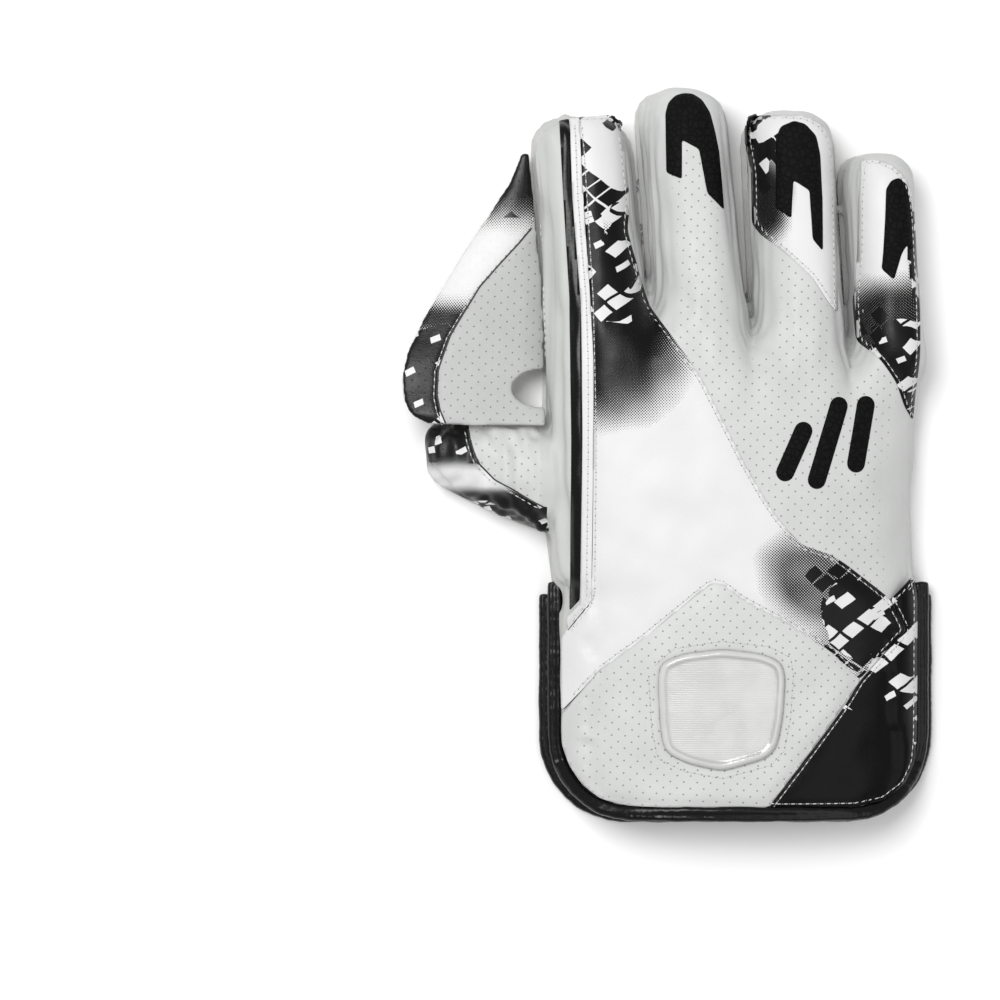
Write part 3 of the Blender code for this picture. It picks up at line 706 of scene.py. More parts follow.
LEATHER_TINT = (0.985, 1.0, 0.985)
BLACK_INK = grey(0.0035)


class Printing(Enum):
    """Where a leather carries print."""

    NONE = "none"
    ALL = "all"
    BAND = "band"


@dataclass(frozen=True)
class TilePrint:
    """Black print on white: slanted tiles that scatter, and a dot screen that fades out."""

    tile: Point = (11.0, 5.2)
    chip: Point = (5.6, 2.8)
    slant: float = 62.0
    screen: float = 0.95
    screen_turn: float = 45.0
    raggedness: float = 0.9
    rag_length: float = 13.0
    flood: float = 0.58
    lean: float = 0.6
    wander: float = 0.5
    chip_turn: float = 17.0
    chip_share: float = 0.08

    def tiles(self, p: Painter, size: Point, turn: float, seed: float) -> tuple[Socket, Socket]:
        """Lays out slanted tiles.

        Args:
            p: the painter of the finish.
            size: a tile's length and width in millimetres.
            turn: the rows' angle in degrees.
            seed: a shift that gives this layer its own draw.

        Returns:
            The random value of each tile, and whether a place is inside its tile.
        """
        wander = p.node("TexNoise", {"Vector": p.spot, "Scale": 0.06, "Detail": 1.0})
        wander = p.vector("SCALE", wander.outputs["Color"], scale=self.wander)
        laid = p.flat(turn, size, (seed, seed * 1.7), p.wrapped())
        parts = p.node("SeparateXYZ", {0: p.vector("ADD", laid, wander)})
        lean = p.math("MULTIPLY_ADD", parts.outputs["Y"], self.lean, parts.outputs["X"])
        slanted = p.node("CombineXYZ", {0: lean, 1: parts.outputs["Y"], 2: seed}).outputs[0]
        draw = p.node("TexWhiteNoise", {"Vector": p.vector("FLOOR", slanted)}, noise_dimensions="3D")
        inside = p.vector("ABSOLUTE", p.vector("SUBTRACT", p.vector("FRACTION", slanted), (0.5, 0.5, 0.0)))
        inside = p.node("SeparateXYZ", {0: inside})
        widest = p.math("MAXIMUM", inside.outputs["X"], inside.outputs["Y"])
        reach = p.math("MULTIPLY_ADD", draw.outputs["Value"], -0.06, 0.45)
        return draw.outputs["Value"], p.math("LESS_THAN", widest, reach)

    def dots(self, p: Painter, fade: Socket, ragged: Socket) -> Socket:
        """Marks the dots of the screen, which shrink as the print fades out.

        Args:
            p: the painter of the finish.
            fade: how dense the screen is, from 0 to 1.
            ragged: a slow noise that frays the screen's edge.

        Returns:
            Where the dots are.
        """
        dot = p.vector("FRACTION", p.flat(self.screen_turn, (self.screen, self.screen), spot=p.wrapped()))
        dot = p.vector("SUBTRACT", dot, (0.5, 0.5, 0.0))
        dot = p.length(p.vector("MULTIPLY", dot, (1.0, 1.0, 0.0)))
        faded = p.math("GREATER_THAN", fade, 0.015)
        fade = p.math("MULTIPLY", p.math("MULTIPLY_ADD", ragged, 0.2, fade), faded)
        reach = p.math("MULTIPLY", p.math("SQRT", p.math("MAXIMUM", fade, 0.0)), 0.74)
        return p.math("MULTIPLY", p.rise(p.math("SUBTRACT", reach, dot), -0.06, 0.06), faded)

    def mask(self, p: Painter) -> Socket:
        """Marks what is printed black, from the painted ink and fade.

        Args:
            p: the painter of the finish.

        Returns:
            Where the print is black.
        """
        ragged = p.math("SUBTRACT", p.noise(self.rag_length, 0.0), 0.5)
        ink, fade = p.painted("ink"), p.painted("fade")
        edge = p.math("MULTIPLY_ADD", ragged, p.math("MULTIPLY", ink, self.raggedness), ink)
        ground = p.math("GREATER_THAN", edge, self.flood)
        drawn, inside = self.tiles(p, self.tile, self.slant, 3.0)
        black = p.math("MULTIPLY", inside, p.math("LESS_THAN", drawn, p.math("MULTIPLY", ink, 0.85)))
        bare = p.math("MULTIPLY", inside, p.math("GREATER_THAN", drawn, ink))
        drawn, chipped = self.tiles(p, self.chip, self.slant + self.chip_turn, 11.0)
        chip = p.math("MULTIPLY", chipped, p.math("LESS_THAN", drawn, self.chip_share))
        chip = p.math("MULTIPLY", chip, p.math("LESS_THAN", ink, 0.97))
        bare = p.math("MULTIPLY", ground, p.math("MAXIMUM", bare, chip))
        covered = p.math("SUBTRACT", 1.0, bare)
        solid = p.math("MULTIPLY", p.math("MAXIMUM", black, ground), covered)
        return p.math("MAXIMUM", solid, p.math("MULTIPLY", self.dots(p, fade, ragged), covered))


@dataclass(frozen=True)
class LeatherFinish:
    """Soft glove leather: plain, with its needle-fine air holes, or printed."""

    name: str
    lightness: float = 0.57
    white: float = 0.70
    perforated: bool = False
    # Lined leather is grey inside and has painted shade on its side walls, most on the index side wall.
    lined: bool = False
    printing: Printing = Printing.NONE
    pattern: TilePrint = TilePrint()
    roughness: float = 0.50
    grain: float = 0.55
    gloss: float = 0.28
    hole_pitch: Point = (6.3, 5.9)
    hole_radius: float = 0.43

    def holes(self, p: Painter) -> Socket:
        """Marks the staggered air holes where the leather faces up.

        Args:
            p: the painter of the finish.

        Returns:
            Where the holes are.
        """
        nearest = None
        for shift in ((0.0, 0.0), (0.5, 0.5)):
            cell = p.vector("FRACTION", p.flat(2.0, self.hole_pitch, shift))
            gap = p.vector("SUBTRACT", cell, (0.5, 0.5, 0.0))
            gap = p.length(p.vector("MULTIPLY", gap, (1.0, 1.0, 0.0)))
            nearest = gap if nearest is None else p.math("MINIMUM", nearest, gap)
        edge = self.hole_radius / self.hole_pitch[0]
        dots = p.rise(nearest, edge * 0.6, edge * 1.3, (1.0, 0.0))
        dots = p.math("MULTIPLY", dots, p.math("SUBTRACT", 1.0, p.painted("plain")))
        return p.math("MULTIPLY", dots, p.rise(p.upward(), 0.80, 0.90))

    def material(self) -> bpy.types.Material:
        """Builds the leather's material.

        Returns:
            The material.
        """
        p = Painter(self.name)
        pores = p.rise(p.cells(self.grain, "SMOOTH_F1"), 0.05, 0.75)
        creases = p.noise(2.2, 4.0)
        tone = p.rise(p.noise(26.0, 3.0), 0.25, 0.75, (0.0, 1.0))
        dark, light = grey(self.lightness * 0.95, LEATHER_TINT), grey(self.lightness * 1.02, LEATHER_TINT)
        colour = p.mix(tone, dark, light)
        colour = p.mix(p.rise(creases, 0.58, 0.85, (0.0, 0.22)), colour, grey(self.lightness * 0.68))
        height = p.math("ADD", p.math("MULTIPLY", pores, 0.35), p.math("MULTIPLY", creases, 0.5))
        rough = p.rise(p.noise(7.0, 3.0), 0.3, 0.7, (self.roughness - 0.06, self.roughness + 0.08))
        if self.lined:
            # Painted shade: walls that face sideways are darkened a little, and the index side wall, marked
            # plain, much more.
            wall = p.rise(p.upward(), 0.15, 0.70, (0.05, 0.0))
            wall = p.math("MULTIPLY_ADD", p.painted("plain"), 0.38, wall)
            colour = p.mix(wall, colour, grey(self.lightness * 0.80, (0.97, 1.0, 0.95)))
            colour = p.mix(p.painted("lining"), colour, grey(0.34, (1.0, 1.0, 0.99)))
        if self.perforated:
            dots = self.holes(p)
            colour = p.mix(p.math("MULTIPLY", dots, 0.72), colour, grey(0.10))
            height = p.math("SUBTRACT", height, dots)
        if self.printing is not Printing.NONE:
            mask = self.pattern.mask(p)
            white = p.mix(tone, grey(self.white * 0.97), grey(self.white * 1.01))
            printed = p.mix(mask, white, BLACK_INK)
            sleek = p.math("MULTIPLY", rough, p.rise(mask, 0.0, 1.0, (0.80, 0.66)))
            if self.printing is Printing.BAND:
                band = p.math("GREATER_THAN", p.painted("band"), 0.5)
                colour = p.mix(band, colour, printed)
                rough = p.math("MULTIPLY_ADD", band, p.math("SUBTRACT", sleek, rough), rough)
            else:
                colour, rough = printed, sleek
        return p.finish(colour, rough, height, 0.09, Specular_IOR_Level=self.gloss)


@dataclass(frozen=True)
class MeshFinish:
    """Black air mesh over foam, with its six-sided cells."""

    name: str
    cell: float = 3.1

    def material(self) -> bpy.types.Material:
        """Builds the mesh's material.

        Returns:
            The material.
        """
        p = Painter(self.name)
        cells = p.cells(self.cell, "DISTANCE_TO_EDGE")
        plate = p.rise(cells, 0.04, 0.16)
        weave = p.noise(0.4, 2.0)
        colour = p.mix(plate, grey(0.002), grey(0.005))
        colour = p.mix(p.rise(weave, 0.55, 0.8, (0.0, 0.5)), colour, grey(0.012))
        rough = p.rise(weave, 0.2, 0.8, (0.55, 0.75))
        height = p.math("ADD", p.math("MULTIPLY", plate, 0.7), p.math("MULTIPLY", weave, 0.3))
        return p.finish(colour, rough, height, 0.25, Specular_IOR_Level=0.08)


@dataclass(frozen=True)
class BindingFinish:
    """Black polished binding leather, creased across where it is folded."""

    name: str
    lightness: float = 0.003
    roughness: float = 0.22
    gloss: float = 0.24

    def material(self) -> bpy.types.Material:
        """Builds the binding's material.

        Returns:
            The material.
        """
        p = Painter(self.name)
        creases = p.noise(1.6, 5.0)
        pores = p.cells(0.5, "SMOOTH_F1")
        scuff = p.rise(p.noise(9.0, 5.0), 0.60, 0.85)
        colour = p.mix(scuff, grey(self.lightness), grey(self.lightness * 2.2))
        rough = p.rise(creases, 0.3, 0.75, (self.roughness - 0.03, self.roughness + 0.08))
        height = p.math("ADD", p.math("MULTIPLY", pores, 0.3), p.math("MULTIPLY", creases, 0.7))
        return p.finish(colour, rough, height, 0.05, Specular_IOR_Level=self.gloss)


@dataclass(frozen=True)
class RubberFinish:
    """Off-white dimpled rubber, a little uneven in tone and gloss."""

    name: str
    lightness: float = 0.62

    def material(self) -> bpy.types.Material:
        """Builds the rubber's material.

        Returns:
            The material.
        """
        p = Painter(self.name)
        smudge = p.noise(14.0, 4.0)
        fine = p.noise(0.8, 3.0)
        dark = grey(self.lightness * 0.86, (1.0, 0.985, 0.95))
        light = grey(self.lightness, (1.0, 0.99, 0.97))
        colour = p.mix(p.rise(smudge, 0.3, 0.7), dark, light)
        rough = p.rise(smudge, 0.3, 0.7, (0.50, 0.66))
        return p.finish(colour, rough, fine, 0.08, Subsurface_Weight=0.05)


@dataclass(frozen=True)
class PlasticFinish:
    """Clear moulded plastic over a white face with fine lines across it."""

    name: str
    line_pitch: float = 1.05
    lightness: tuple[float, float] = (0.56, 0.60)
    tint: tuple[float, float, float] = (1.0, 1.0, 0.985)

    def material(self) -> bpy.types.Material:
        """Builds the badge's material.

        Returns:
            The material.
        """
        p = Painter(self.name)
        parts = p.node("SeparateXYZ", {0: p.spot})
        wave = p.math("SINE", p.math("MULTIPLY", parts.outputs["Y"], 2 * math.pi / self.line_pitch))
        lines = p.math("MULTIPLY", p.rise(wave, -0.2, 0.9), p.painted("face"))
        haze = p.noise(12.0, 2.0)
        dark, light = (grey(value, self.tint) for value in self.lightness)
        colour = p.mix(p.rise(haze, 0.3, 0.7), dark, light)
        colour = p.mix(p.math("MULTIPLY", lines, 0.16), colour, grey(0.40))
        # Painted shade: darker grey in the gutter round the sunk face and along the badge's outer edge.
        colour = p.mix(p.painted("gutter"), colour, grey(0.36))
        rough = p.rise(haze, 0.3, 0.7, (0.12, 0.19))
        height = p.math("ADD", p.math("MULTIPLY", lines, 0.5), p.math("MULTIPLY", haze, 0.3))
        return p.finish(colour, rough, height, 0.10, Coat_Weight=0.5, Coat_Roughness=0.05)


@dataclass(frozen=True)
class ThreadFinish:
    """Twisted polyester thread."""

    name: str
    lightness: float = 0.66

    def material(self) -> bpy.types.Material:
        """Builds the thread's material.

        Returns:
            The material.
        """
        p = Painter(self.name)
        twist = p.noise(0.35, 1.0)
        colour = p.mix(p.rise(twist, 0.35, 0.65), grey(self.lightness * 0.8), grey(self.lightness))
        return p.finish(colour, p.rise(twist, 0.3, 0.7, (0.55, 0.7)), twist, 0.05, Sheen_Weight=0.2)


def dress(
    obj: bpy.types.Object,
    materials: list[bpy.types.Material],
    stands_for: tuple[str, ...] = (),
) -> bpy.types.Object:
    """Gives a piece its finish and its place in the frame.

    Args:
        obj: the piece.
        materials: the piece's materials, in the order of its faces' numbers.
        stands_for: the frame's nodes that the piece replaces.

    Returns:
        The piece.
    """
    obj.data.materials.clear()
    for material in materials:
        obj.data.materials.append(material)
    if stands_for:
        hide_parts(*stands_for)
    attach(obj, "root")
    LOG.info("%s: %d points", obj.name, len(obj.data.vertices))
    return obj


# ---- Sub-assemblies ----


@dataclass
class LeatherBack:
    """The padded leather over the hand, the fingers, the thumb and the cuff, as one soft skin.

    Voxel, bridge and slit_run are in metres, slit is a share, and the other sizes are in millimetres.
    """

    voxel: float = 1.55 * MM
    bridge: float = 1.3 * MM
    slit: float = 0.075
    slit_run: float = 0.03
    rounds: int = 9
    wrist_rounds: int = 30
    wrist_row: float = -60.0
    wrist_reach: float = 14.0
    wrist_low: float = 9.0
    softness: float = 0.30
    dent_length: float = 24.0
    fold: float = 0.55
    fold_length: float = 6.5
    index_fold: float = 1.15
    index_fold_length: float = 6.0
    knuckle: float = 0.35
    knuckle_row: float = 66.0
    knuckle_reach: float = 16.0
    seam_width: float = 2.6
    welt_width: float = 1.4
    fingers: tuple[str, ...] = ("index_stall", "middle_stall", "ring_stall", "little_stall")
    seams: tuple[tuple[Outline, float], ...] = (
        (((-12.0, 150.0), (-12.4, 121.8), (-10.2, 98.0), (-7.2, 78.0)), 1.1),
        (((33.0, 150.0), (35.5, 120.0), (38.0, 96.0), (38.9, 68.0)), 0.8),
        (((84.2, 138.0), (84.4, 110.0), (83.8, 80.0), (84.6, 54.0)), 0.8),
    )
    welt: float = 0.75
    welts: tuple[Outline, ...] = (
        ((-3.6, 160.0), (-4.3, 145.0), (-3.8, 125.0), (-1.2, 100.0), (0.6, 82.0)),
        ((39.0, 154.0), (39.6, 130.0), (40.0, 108.0), (41.0, 88.0), (42.4, 74.0)),
        ((90.0, 138.0), (89.8, 120.0), (89.4, 95.0), (88.6, 72.0), (88.6, 58.0)),
    )

    def narrowed(self, node: str) -> bmesh.types.BMesh:
        """A finger stall's copy, slimmer past its root so that a slit stays open beside it.

        Args:
            node: the stall's node.

        Returns:
            The slimmer copy.
        """
        bm = node_copy(node)
        places = np.array([v.co for v in bm.verts])
        slope, middle = np.polyfit(places[:, 1], places[:, 0], 1)
        root = places[:, 1].min()
        for vert in bm.verts:
            centre = slope * vert.co.y + middle
            share = min(max((vert.co.y - root) / self.slit_run, 0.0), 1.0)
            vert.co.x = centre + (vert.co.x - centre) * (1 - self.slit * share)
        return bm

    def moved(self, bm: bmesh.types.BMesh, way: tuple[float, float, float]) -> bmesh.types.BMesh:
        """A copy of bm moved by way, to close the joint beside it.

        Args:
            bm: the shape.
            way: the move in metres.

        Returns:
            The moved copy.
        """
        copy = bm.copy()
        bmesh.ops.translate(copy, verts=copy.verts, vec=Vector(way))
        return copy

    def shape(self) -> bmesh.types.BMesh:
        """Gathers the overlapping shells that the skin is laid over.

        Returns:
            The shells in one shape.
        """
        parts = [node_copy("hand_back"), node_copy("cuff_back"), node_copy("thumb_stall")]
        parts.append(self.moved(parts[1], (0, self.bridge, 0)))
        parts.append(self.moved(parts[2], (self.bridge, 0, 0)))
        parts.append(self.moved(parts[2], (3.2 * self.bridge, 0, 0)))
        for finger in self.fingers:
            stall = self.narrowed(finger)
            parts += [stall, self.moved(stall, (0, -self.bridge, 0))]
        return joined(parts)

    def relief(self, mesh: bpy.types.Mesh) -> None:
        """Works folds, sunk seams and soft dents into the skin.

        Args:
            mesh: the skin.
        """
        places, normals = places_of(mesh), normals_of(mesh)
        flat = places[:, :2]
        up = ramp(normals[:, 2], 0.3, 0.8)
        wall = 1 - ramp(np.abs(normals[:, 2]), 0.25, 0.75)
        height = self.softness * soft_waves(places, self.dent_length, 5)
        folds = places * np.array([1.0, 0.10, 1.0])
        front = ramp(np.abs(normals[:, 1]), 0.5, 0.9)
        height += self.fold * wall * (1 - 0.85 * front) * soft_waves(folds, self.fold_length, 8)
        index_wall = ramp(-flat[:, 0], 42.0, 50.0) * ramp(places[:, 2], 8.0, 14.0)
        index_folds = folds * np.array([1.0, 0.6, 0.7])
        height += self.index_fold * index_wall * soft_waves(index_folds, self.index_fold_length, 21)
        for line, depth in self.seams:
            height -= depth * up * bell(line_distance(flat, list(line)), self.seam_width)
        for line in self.welts:
            height += self.welt * up * bell(line_distance(flat, list(line)), self.welt_width)
        past = flat[:, 1] - self.knuckle_row + 0.20 * np.maximum(flat[:, 0], 0)
        creases = soft_waves(places * np.array([1.0, 0.35, 0.5]), 9.0, 33)
        height += self.knuckle * bell(past, self.knuckle_reach) * up * creases
        inner = self.lining(mesh)
        put_places(mesh, places + normals * (height * (1 - inner))[:, None])
        paint(mesh, "lining", inner)
        # The index side wall is marked plain: it has no air holes, and the back leather's finish paints
        # shade on it.
        side = ramp(-flat[:, 0], 42.5, 44.0) * ramp(flat[:, 0], -61.0, -59.5)
        paint(mesh, "plain", side * ramp(flat[:, 1], -92.0, -88.0))

    def lining(self, mesh: bpy.types.Mesh) -> np.ndarray:
        """Marks the points inside the glove, which the leather covers from above.

        Args:
            mesh: the skin.

        Returns:
            1 for each point inside and 0 for the others.
        """
        tree = tree_of(mesh)
        up = Vector((0, 0, 1))
        covered = []
        for vert, normal in zip(mesh.vertices, normals_of(mesh)):
            start = vert.co + Vector(normal) * 0.6 * MM
            covered.append(normal[2] < 0.35 and tree.ray_cast(start, up, 0.05)[0] is not None)
        return np.array(covered, float)

    def band(self, mesh: bpy.types.Mesh) -> None:
        """Marks the print band round the thumb and how much ink it holds.

        Args:
            mesh: the skin.
        """
        places = places_of(mesh)
        flat = places[:, :2]
        on_thumb = (flat[:, 0] < -57.0) & (flat[:, 1] < 22.0) & (flat[:, 1] > -40.0)
        seam = np.array(THUMB_SEAM)
        order = np.argsort(seam[:, 0])
        beyond = flat[:, 1] < np.interp(flat[:, 0], seam[order, 0], seam[order, 1])
        outer = beyond | (flat[:, 0] < -94.5)
        paint(mesh, "band", (on_thumb & outer).astype(float))
        ink = ramp(flat[:, 1], -4.0, 4.0) * 0.95 + ramp(-flat[:, 1], 18.0, 24.0) * 0.95
        fade = ramp(flat[:, 1], -8.0, 2.0) + ramp(-flat[:, 1], 13.0, 20.0)
        paint(mesh, "ink", ink)
        paint(mesh, "fade", fade * 0.9)

    def build(self, leather: bpy.types.Material) -> bpy.types.Object:
        """Builds and dresses the leather back.

        Args:
            leather: its finish.

        Returns:
            The piece's object.
        """
        obj = skin_over("leather_back", self.shape(), self.voxel, self.rounds)
        row, reach, low = self.wrist_row * MM, self.wrist_reach * MM, self.wrist_low * MM
        smooth(obj, self.wrist_rounds, lambda co: abs(co.y - row) < reach and co.z > low)
        self.relief(obj.data)
        self.band(obj.data)
        nodes = ("hand_back", "cuff_back", "thumb_stall") + self.fingers
        return dress(obj, [leather], nodes)


@dataclass(frozen=True)
class InkSpot:
    """One cloud of print on a panel, in millimetres."""

    x: float
    y: float
    width: float
    length: float
    ink: float
    fade: float
    turn: float = 0.0

    def reach(self, flat: np.ndarray) -> np.ndarray:
        """How near each place is to the middle of the cloud, from 0 to 1.

        Args:
            flat: the x and y of the places, in millimetres.

        Returns:
            The nearness of each place.
        """
        angle = math.radians(self.turn)
        dx, dy = flat[:, 0] - self.x, flat[:, 1] - self.y
        u = (dx * math.cos(angle) + dy * math.sin(angle)) / self.width
        v = (-dx * math.sin(angle) + dy * math.cos(angle)) / self.length
        return np.clip(2.0 - 2.0 * np.sqrt(u * u + v * v), 0.0, 1.0)


@dataclass
class Panel:
    """A piece of leather sewn over the back, pinched down along its edge and padded inside it."""

    name: str
    slot: Slot
    outline: Outline
    stands_for: tuple[str, ...] = ()
    corner: float = 2.5
    lift: float = 0.25
    puff: float = 1.0
    pinch: float = 3.2
    thickness: float = 0.9
    edge: float = 0.45
    step: float = 2.2
    fill: float | None = 0.4
    sewn: float | None = 1.7
    carry: int = 5
    level: float = 0.80
    ripple: float = 0.10
    ripple_length: float = 17.0
    ink: tuple[InkSpot, ...] = ()
    rim: list[Point] = field(default_factory=list)

    def flat_shape(self) -> bmesh.types.BMesh:
        """Cuts the panel flat: its outline, a narrow cut edge and an even grid inside.

        Returns:
            The flat panel, with its cut edge as material 1.
        """
        self.rim = rounded(self.outline, self.corner)
        bm = bmesh.new()
        face = bm.faces.new([bm.verts.new((x * MM, y * MM, 0.0)) for x, y in self.rim])
        if face.normal.z < 0 or self.area() < 0:
            face.normal_flip()
        bmesh.ops.inset_region(bm, faces=[face], thickness=self.edge * MM, use_even_offset=True)
        for other in bm.faces:
            other.material_index = 0 if other is face else 1
        xs, ys = zip(*self.rim)
        for low, high, normal in ((min(xs), max(xs), (1, 0, 0)), (min(ys), max(ys), (0, 1, 0))):
            for at in np.arange(low + self.step / 2, high, self.step):
                geometry = bm.verts[:] + bm.edges[:] + bm.faces[:]
                plane = Vector(normal) * float(at) * MM
                bmesh.ops.bisect_plane(bm, geom=geometry, dist=1e-7, plane_co=plane, plane_no=normal)
        return bm

    def area(self) -> float:
        """The outline's signed area, above 0 where it runs anticlockwise."""
        turned = self.rim[1:] + self.rim[:1]
        return sum(a[0] * b[1] - b[0] * a[1] for a, b in zip(self.rim, turned)) / 2

    def drape(self, bm: bmesh.types.BMesh, surface: Surface) -> None:
        """Lays the flat panel on the leather and lifts it away from its sewn edge.

        Args:
            bm: the flat panel.
            surface: what it is laid on.
        """
        flat = np.array([(v.co.x / MM, v.co.y / MM) for v in bm.verts])
        gap = line_distance(flat, self.rim, closed=True)
        rise = self.lift + self.puff * (1 - bell(gap, self.pinch))
        ripples = soft_waves(flat, self.ripple_length, len(self.name))
        rise += self.ripple * ripples * ramp(gap, 1.0, 6.0)
        for vert, up in zip(bm.verts, rise):
            spot, normal = self.carried(surface, vert.co.x, vert.co.y)
            vert.co = spot + normal * float(up) * MM

    def carried(self, surface: Surface, x: float, y: float) -> tuple[Vector, Vector]:
        """Finds the panel's seat, which stays level where the cuff rolls down into its binding.

        Args:
            surface: what the panel is sewn on.
            x: the place across the glove, in metres.
            y: the place along the glove, in metres.

        Returns:
            The point and the direction away from the leather.
        """
        spot, normal = surface.rest(x, y)
        inner = Vector((x, y))
        for _ in range(self.carry):
            if y > CUFF_TOP * MM or normal.z > self.level:
                break
            inner -= normal.xy.normalized() * MM
            spot, normal = surface.rest(inner.x, inner.y)
        return Vector((x, y, spot.z)), normal

    def build(self, surface: Surface, materials: list[bpy.types.Material]) -> bpy.types.Object:
        """Builds and dresses the panel.

        Args:
            surface: what it is sewn on.
            materials: its face, and its cut edge.

        Returns:
            The panel's object.
        """
        bm = self.flat_shape()
        self.drape(bm, surface)
        obj = finished(self.name, bm)
        flat = places_of(obj.data)[:, :2]
        for name in ("ink", "fade"):
            clouds = [getattr(spot, name) * spot.reach(flat) for spot in self.ink]
            if clouds:
                paint(obj.data, name, np.max(clouds, axis=0))
        wall = obj.modifiers.new("Wall", "SOLIDIFY")
        wall.thickness = self.thickness * MM
        wall.offset = -1.0
        wall.material_offset_rim = 1 if len(materials) > 1 else 0
        return dress(obj, materials, self.stands_for)

    def stitch_line(self) -> list[tuple[Point, Point]]:
        """Places along the panel's edge where its stitches go, with their directions.

        Returns:
            Each stitch's place and direction.
        """
        inward = 1.0 if self.area() > 0 else -1.0
        stops = []
        for (x, y), (dx, dy) in spaced(self.rim, Stitching.pitch, closed=True):
            stop = (x - dy * self.sewn * inward, y + dx * self.sewn * inward)
            if stop[0] > BINDING_SIDE or stop[1] > CUFF_TOP:
                stops.append((stop, (dx, dy)))
        return stops


@dataclass
class Trim(Panel):
    """A narrow strip or piping, let in without padding or a stitched edge of its own."""

    corner: float = 1.0
    lift: float = 0.2
    puff: float = 0.7
    pinch: float = 1.4
    thickness: float = 0.8
    edge: float = 0.3
    step: float = 1.3
    fill: float | None = None
    sewn: float | None = None
    carry: int = 0


@dataclass
class MeshInset(Trim):
    """An inset of air mesh, a little rounder and flatter than a strip."""

    corner: float = 1.5
    lift: float = 0.3
    puff: float = 0.5
    pinch: float = 1.6


@dataclass
class Stitching:
    """Rows of lockstitches, each a short thread that dips into the leather at both ends."""

    pitch: float = 3.4
    length: float = 2.3
    width: float = 0.55
    hole: float = 0.36
    clear: float = 0.06
    hole_clear: float = 0.03
    rows: list[tuple[Point, Point]] = field(default_factory=list)

    def places(self, surface: Surface) -> list[Matrix]:
        """Where each stitch lies on the surface.

        Args:
            surface: what it is laid on.

        Returns:
            A placement for each stitch.
        """
        found = []
        for (x, y), (dx, dy) in self.rows:
            spot, normal = surface.rest(x * MM, y * MM)
            along = Vector((dx, dy, 0.0))
            along = (along - normal * along.dot(normal)).normalized()
            side = normal.cross(along)
            turn = Matrix((along, side, normal)).transposed().to_4x4()
            found.append(Matrix.Translation(spot + normal * self.clear * MM) @ turn)
        return found

    def build(self, name: str, surface: Surface, thread: bpy.types.Material, slot: Slot) -> bpy.types.Object:
        """Builds and dresses the rows of stitches.

        Args:
            name: the piece's name.
            surface: what it is laid on.
            thread: its finish.
            slot: not used.

        Returns:
            The piece's object.
        """
        bm = bmesh.new()
        bmesh.ops.create_uvsphere(bm, u_segments=6, v_segments=5, radius=0.5 * MM)
        turn = Matrix.Rotation(math.radians(90), 4, "Y")
        size = Matrix.Diagonal((self.length, self.width, self.width, 1.0))
        bmesh.ops.transform(bm, matrix=size @ turn, verts=bm.verts)
        obj = scattered(name, bm, self.places(surface))
        return dress(obj, [thread])

    def needle_holes(
        self, name: str, surface: Surface, dark: bpy.types.Material, slot: Slot
    ) -> bpy.types.Object:
        """Builds and dresses the small dark dents that the needle leaves between stitches.

        Args:
            name: the piece's name.
            surface: what it is laid on.
            dark: its finish.
            slot: not used.

        Returns:
            The piece's object.
        """
        bm = bmesh.new()
        bmesh.ops.create_circle(bm, segments=8, radius=self.hole * MM, cap_ends=True)
        half = Matrix.Translation((self.pitch / 2 * MM, 0, self.hole_clear * MM))
        obj = scattered(name, bm, [place @ half for place in self.places(surface)])
        return dress(obj, [dark])


@dataclass
class SeamCord:
    """A thin dark cord along a seam: the leather's dark edge, with painted shade in the seam."""

    line: Outline
    radius: float = 0.42
    pitch: float = 1.6

    def build(self, name: str, surface: Surface, leather: bpy.types.Material) -> bpy.types.Object:
        """Builds and dresses the cord, laid along its line on the surface.

        Args:
            name: the piece's name.
            surface: what it is laid on.
            leather: its finish.

        Returns:
            The piece's object.
        """
        curve = bpy.data.curves.new(name, "CURVE")
        curve.dimensions = "3D"
        curve.bevel_depth = self.radius * MM
        curve.bevel_resolution = 2
        curve.use_fill_caps = True
        stops = spaced(list(self.line), self.pitch)
        spline = curve.splines.new("POLY")
        spline.points.add(len(stops) - 1)
        for point, ((x, y), _) in zip(spline.points, stops):
            point.co = (*surface.rest(x * MM, y * MM)[0], 1.0)
        path = bpy.data.objects.new(name, curve)
        bpy.context.scene.collection.objects.link(path)
        depsgraph = bpy.context.evaluated_depsgraph_get()
        mesh = bpy.data.meshes.new_from_object(path.evaluated_get(depsgraph))
        bpy.data.objects.remove(path)
        mesh.shade_smooth()
        return dress(add_object(name, mesh), [leather])


